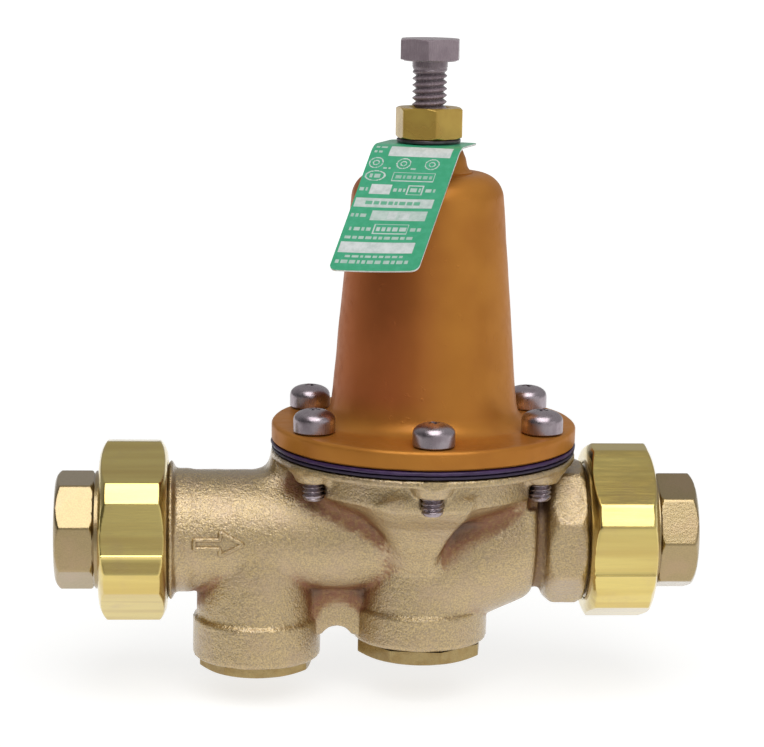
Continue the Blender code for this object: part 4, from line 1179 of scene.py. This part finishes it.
def tag_plate():
    """The bent tag: a thin sheet, slightly cupped across, with rounded corners and its print."""
    total = TAG_BACK + TAG_FRONT + TAG_SLOPED
    rows, columns = round(total / TAG_CELL), round(TAG_WIDTH / TAG_CELL)
    along = np.linspace(0, total, rows + 1)
    share = np.linspace(-1, 1, columns + 1)
    points, across, down = [], [], []
    for s in along:
        run, height, slope = tag_station(s)
        near_end = TAG_CORNER_R - min(s, total - s, TAG_CORNER_R)
        half = TAG_WIDTH / 2 - TAG_CORNER_R + math.sqrt(max(TAG_CORNER_R ** 2 - near_end ** 2, 0))
        x = share * half
        sloped = min(max(s - TAG_BACK - TAG_FRONT, 0) / TAG_SLOPED, 1)
        curl = sloped * (TAG_CUP * (x / (TAG_WIDTH / 2)) ** 2 + x * math.tan(math.radians(TAG_TWIST)))
        for lift in (0.0, TAG_THICK):
            up = curl + lift
            points.append(np.stack([x, -(run + up * math.sin(slope)), height + up * math.cos(slope)], -1))
        across.append(x)
        down.append(np.full_like(x, s - TAG_BACK - TAG_FRONT))
    points = np.array(points).reshape(rows + 1, 2, columns + 1, 3)
    number = np.arange(points.size // 3).reshape(points.shape[:3])
    low, top = number[:, 0], number[:, 1]

    def skin(a):
        return np.stack([a[:-1, :-1], a[:-1, 1:], a[1:, 1:], a[1:, :-1]], -1).reshape(-1, 4)

    edges = [(low[:, e], top[:, e]) for e in (0, -1)] + [(low[e], top[e]) for e in (0, -1)]
    sides = [np.stack([a[:-1], a[1:], b[1:], b[:-1]], -1) for a, b in edges]
    upper = skin(top)
    faces = np.concatenate([upper, skin(low), *sides])
    turn = np.array(Matrix.Rotation(math.radians(-TAG_TURN), 3, "Z"))
    tag = mesh_object("tag_plate", points.reshape(-1, 3) @ turn.T, faces.tolist())
    ink = np.zeros(points.shape[:3], np.float32)
    ink[:, 1] = tag_marks(np.array(across), np.array(down))
    paint(tag, "ink", ink)
    tag.data.materials.append(MATERIALS["tag_paint"])
    tag.data.materials.append(MATERIALS["tag_edge"])
    index = np.ones(len(faces), np.int32)
    index[: len(upper)] = 0
    tag.data.polygons.foreach_set("material_index", index)
    cut_away(tag, [pin(5.16, TAG_BOTTOM - 2, TAG_BOTTOM + 2, 8)])
    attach(tag, "identification_tag")
    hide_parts("identification_tag")


# ------------------------------------------------------------------ plugs and unions


def octagon_plug(name, node, centre_x, mouth, corner_r, corner_angle, cup_r, cup_floor):
    """A screwed plug: a chamfered octagon below the boss, and the threaded cup inside it."""
    bottom = heights(node)[0]
    head_top, thread_top = mouth - GAP, mouth + PLUG_THREAD_LENGTH
    across = 2 * corner_r * math.cos(math.pi / 8)
    outline = [
        (0, bottom), (corner_r - 2.0, bottom, 1), (corner_r + 0.2, bottom + 0.9, 1),
        (corner_r + 0.2, head_top, 1), (PLUG_THREAD_R, head_top), (PLUG_THREAD_R, thread_top - 0.8),
        (PLUG_THREAD_R - 0.8, thread_top), (cup_r, thread_top), (cup_r, cup_floor), (0, cup_floor),
    ]
    outline = refined(outline, 0.5, (PLUG_THREAD_R, BOLT_PITCH / 12))
    cut = thread(PLUG_THREAD_R, head_top + 1.2, thread_top - 0.3, BOLT_PITCH, 0.8)
    plug = prism(name, outline, 8, across, corner_angle, 0.4, (3.0, 0.5, 2.0), cuts=[cut],
                 at=(centre_x, 0, 0))
    finish_piece(plug, "plug_brass", node, [node])


def seal_ring(name, node, centre_x, centre_z, body):
    """The O-ring of a plug."""
    section = arc(SEAL_R, centre_z, 0.75, 0.75, 0, 345, 23)
    ring = turned(name, section, spread_angles(coarse=4.0), at=(centre_x, 0, 0))
    finish_piece(ring, "gasket_rubber", body, [node])


def end_curve(corner_r, flat_r, inset):
    """The turned-back end of a union nut or tailpiece: (radius, distance from the end)."""
    return [(flat_r + (corner_r - flat_r) * t, inset * t ** 1.7) for t in np.linspace(0, 1, 7)]


def coupling_nut(side, along, first_corner, seam):
    """A union nut: a hexagon with its corners cut to narrow flats, bored and threaded, with two seams."""
    face, end = ends(f"{side}_union_nut")
    sides = regular(6, NUT_FLATS, first_corner)
    reach = math.acos(NUT_FLATS / 2 / NUT_CORNER_R)
    corner_flat = NUT_CORNER_R * math.cos(math.pi / 6 - reach)
    sides += [(corner_flat, first_corner + 60 * i) for i in range(6)]
    curve = end_curve(NUT_CORNER_R + 0.25, 21.2, 2.3)
    outline = [(NUT_BORE_R + 0.6, face)]
    outline += [(r, face + d, 1) for r, d in curve]
    outline += [(r, end - d, 1) for r, d in reversed(curve)]
    outline += [
        (NUT_LIP_R + 0.4, end), (NUT_LIP_R, end - 0.4), (NUT_LIP_R, end - NUT_LIP),
        (NUT_BORE_R, end - NUT_LIP), (NUT_BORE_R, face + 0.6),
    ]
    outline = refined(outline, 0.55, (NUT_BORE_R, UNION_PITCH / 12))
    cut = thread(NUT_BORE_R, face + 0.4, end - NUT_LIP - 1.5, UNION_PITCH, 0.9, internal=True)
    edge = 30 - math.degrees(reach)
    seams = (seam, seam + 180)
    corners = [first_corner + 60 * i + s * edge for i in range(6) for s in (-1, 1)]
    angles = spread_angles([*corners, *seams], 3.0, 0.3, 1.5)
    nut = turned(f"{side}_coupling_nut", outline, angles, flats(sides, 0.3, seams), [cut], along, sharp=40.0)
    finish_piece(nut, "union_brass", f"{side}_union_nut", [f"{side}_union_nut"])


def tail_connector(side, along, first_corner):
    """The pipe connector: a flange and neck inside the nut, an octagonal end, and a threaded pipe socket."""
    start, end = ends(f"{side}_tailpiece")
    flange_end, octagon_start = start + TAIL_FLANGE, end - 10.9
    neck_r = NUT_LIP_R - 0.5
    corner_r = TAIL_FLATS / 2 / math.cos(math.pi / 8)
    outline = [
        (BORE_R, start), (TAIL_FLANGE_R, start), (TAIL_FLANGE_R, flange_end), (neck_r, flange_end),
        (neck_r, octagon_start - 0.6), (neck_r - 0.9, octagon_start),
        (corner_r - 0.6, octagon_start + 0.1, 1), (corner_r + 0.2, octagon_start + 0.8, 1),
    ]
    outline += [(r, end - d, 1) for r, d in reversed(end_curve(corner_r + 0.2, 14.4, 1.9))]
    outline += [
        (TAIL_SOCKET_R + 0.9, end), (TAIL_SOCKET_R, end - 0.9), (TAIL_SOCKET_R, end - TAIL_SOCKET_DEPTH),
        (BORE_R, end - TAIL_SOCKET_DEPTH - 1.5),
    ]
    outline = refined(outline, 0.6, (TAIL_SOCKET_R, PIPE_PITCH / 12))
    thread_start = end - TAIL_SOCKET_DEPTH + 1.0
    cut = thread(TAIL_SOCKET_R, thread_start, end - 0.5, PIPE_PITCH, PIPE_DEPTH, internal=True)
    tail = prism(f"{side}_tail_connector", outline, 8, TAIL_FLATS, first_corner, 0.5, (3.0, 0.4, 2.4),
                 cuts=[cut], along=along, sharp=38.0)
    finish_piece(tail, "tail_bronze", f"{side}_tailpiece", [f"{side}_tailpiece"])


# ------------------------------------------------------------------ stage


def dress_hidden_nodes():
    """The pieces inside keep their CAD shape and get a full material from their slot."""
    names = {"polished_brass": "plug_brass"}
    for part in frame["record"]["subparts"]:
        node = frame["nodes"][part["node"]]
        node.data.materials.clear()
        node.data.materials.append(MATERIALS[names.get(part["material_slot"], part["material_slot"])])


def floor():
    """A plain pale floor that glows like a light table, less so in front; the plugs have room to drop."""
    half, z = 14.0, cad_low.z - FLOOR_GAP * MM
    mesh = bpy.data.meshes.new("floor")
    corners = [(x * half, y * half, z) for x, y in ((-1, -1), (1, -1), (1, 1), (-1, 1))]
    mesh.from_pydata(corners, [], [(0, 1, 2, 3)])
    plane = add_object("floor", mesh)
    s = Shader("floor_paper", (0.4, 0.4, 0.397), 0.0, 0.9)
    place = s.xyz()
    leaning = s.remap(s.math("ADD", place["Y"], s.math("MULTIPLY", place["X"], 0.45)), -0.5, -0.12)
    near = s.math("MULTIPLY", leaning, s.remap(place["Y"], -0.13, -0.08, 0.38, 0.72))
    far = s.remap(place["Y"], 0.1, 1.6, 0.0, 0.22)
    s.surface(Emission_Color=(1, 1, 0.995, 1), Emission_Strength=s.math("ADD", near, far))
    mesh.materials.append(s.material)


def softbox(name, aim, azimuth, elevation, distance, width, height, radiance):
    """A rectangular light that faces the aim. Azimuth 0 is in front and grows to the right, in degrees."""
    a, e = math.radians(azimuth), math.radians(elevation)
    away = Vector((math.sin(a) * math.cos(e), -math.cos(a) * math.cos(e), math.sin(e)))
    lamp = bpy.data.lights.new(name, "AREA")
    lamp.shape, lamp.size, lamp.size_y = "RECTANGLE", width, height
    lamp.energy = radiance * math.pi * width * height
    obj = add_object(name, lamp)
    obj.location = Vector(aim) + away * distance
    obj.rotation_euler = away.to_track_quat("Z", "Y").to_euler()


def lights():
    """A bright softbox above the front, a broad one to the right, and a room that is darker low in front."""
    aim = (0.0, 0.0, 0.04)
    softbox("overhead_softbox", aim, 0, 54, 1.15, 1.1, 1.17, 2.9)
    softbox("right_softbox", aim, 30, 8, 1.35, 2.3, 0.75, 0.48)
    world = bpy.data.worlds.new("studio")
    bpy.context.scene.world = world
    world.use_nodes = True
    nodes, links = world.node_tree.nodes, world.node_tree.links
    direction = nodes.new("ShaderNodeTexCoord").outputs["Generated"]
    lean = nodes.new("ShaderNodeVectorMath")
    lean.operation = "DOT_PRODUCT"
    lean.inputs[1].default_value = (0.55, 0.7, 0.5)
    links.new(direction, lean.inputs[0])
    ramp = nodes.new("ShaderNodeMapRange")
    ramp.interpolation_type = "SMOOTHSTEP"
    for socket, number in (("From Min", -0.8), ("From Max", 0.8), ("To Min", 0.09), ("To Max", 0.42)):
        ramp.inputs[socket].default_value = number
    links.new(lean.outputs["Value"], ramp.inputs["Value"])
    nodes["Background"].inputs["Color"].default_value = (1, 1, 1, 1)
    links.new(ramp.outputs["Result"], nodes["Background"].inputs["Strength"])


def camera():
    """A long lens, a little above the pipe and turned slightly towards the outlet."""
    azimuth, elevation, roll, distance, target = 3.66, 10.39, 0.93, 0.7109, (-0.01205, 0.0, 0.0458)
    lens = bpy.data.cameras.new("camera")
    lens.sensor_width, lens.lens = 36.0, 117.5
    lens.clip_start, lens.clip_end = 0.05, 60.0
    obj = add_object("camera", lens)
    place = Matrix.Translation(target)
    for degrees, axis in ((-azimuth, "Z"), (90 - elevation, "X"), (roll, "Z")):
        place = place @ Matrix.Rotation(math.radians(degrees), 4, axis)
    obj.matrix_world = place @ Matrix.Translation((0.0, 0.0, distance))
    bpy.context.scene.camera = obj


MATERIALS = make_materials()
dress_hidden_nodes()
body_casting()
flow_arrow()
bonnet_shell()
flange_seals()
cap_screws()
bolt()
jam_nut()
main_spring()
tag_plate()
octagon_plug("strainer_cap", "strainer_plug", STRAINER_X, STRAINER_MOUTH, 16.8, -78.0, 10.2, -36.2)
octagon_plug("bottom_cap", "bottom_plug", 0.0, SEAT_MOUTH, 18.8, -75.0, 9.0, -29.8)
seal_ring("strainer_cap_seal", "strainer_plug_o_ring", STRAINER_X, -36.0, "strainer_screen")
seal_ring("bottom_cap_seal", "bottom_plug_o_ring", 0.0, -30.6, "bottom_seal")
coupling_nut("inlet", "-X", 7.0, -94.5)
tail_connector("inlet", "-X", 15.0)
coupling_nut("outlet", "X", 8.0, -71.4)
tail_connector("outlet", "X", 1.0)
floor()
lights()
camera()
bpy.context.scene.view_settings.view_transform = "Standard"
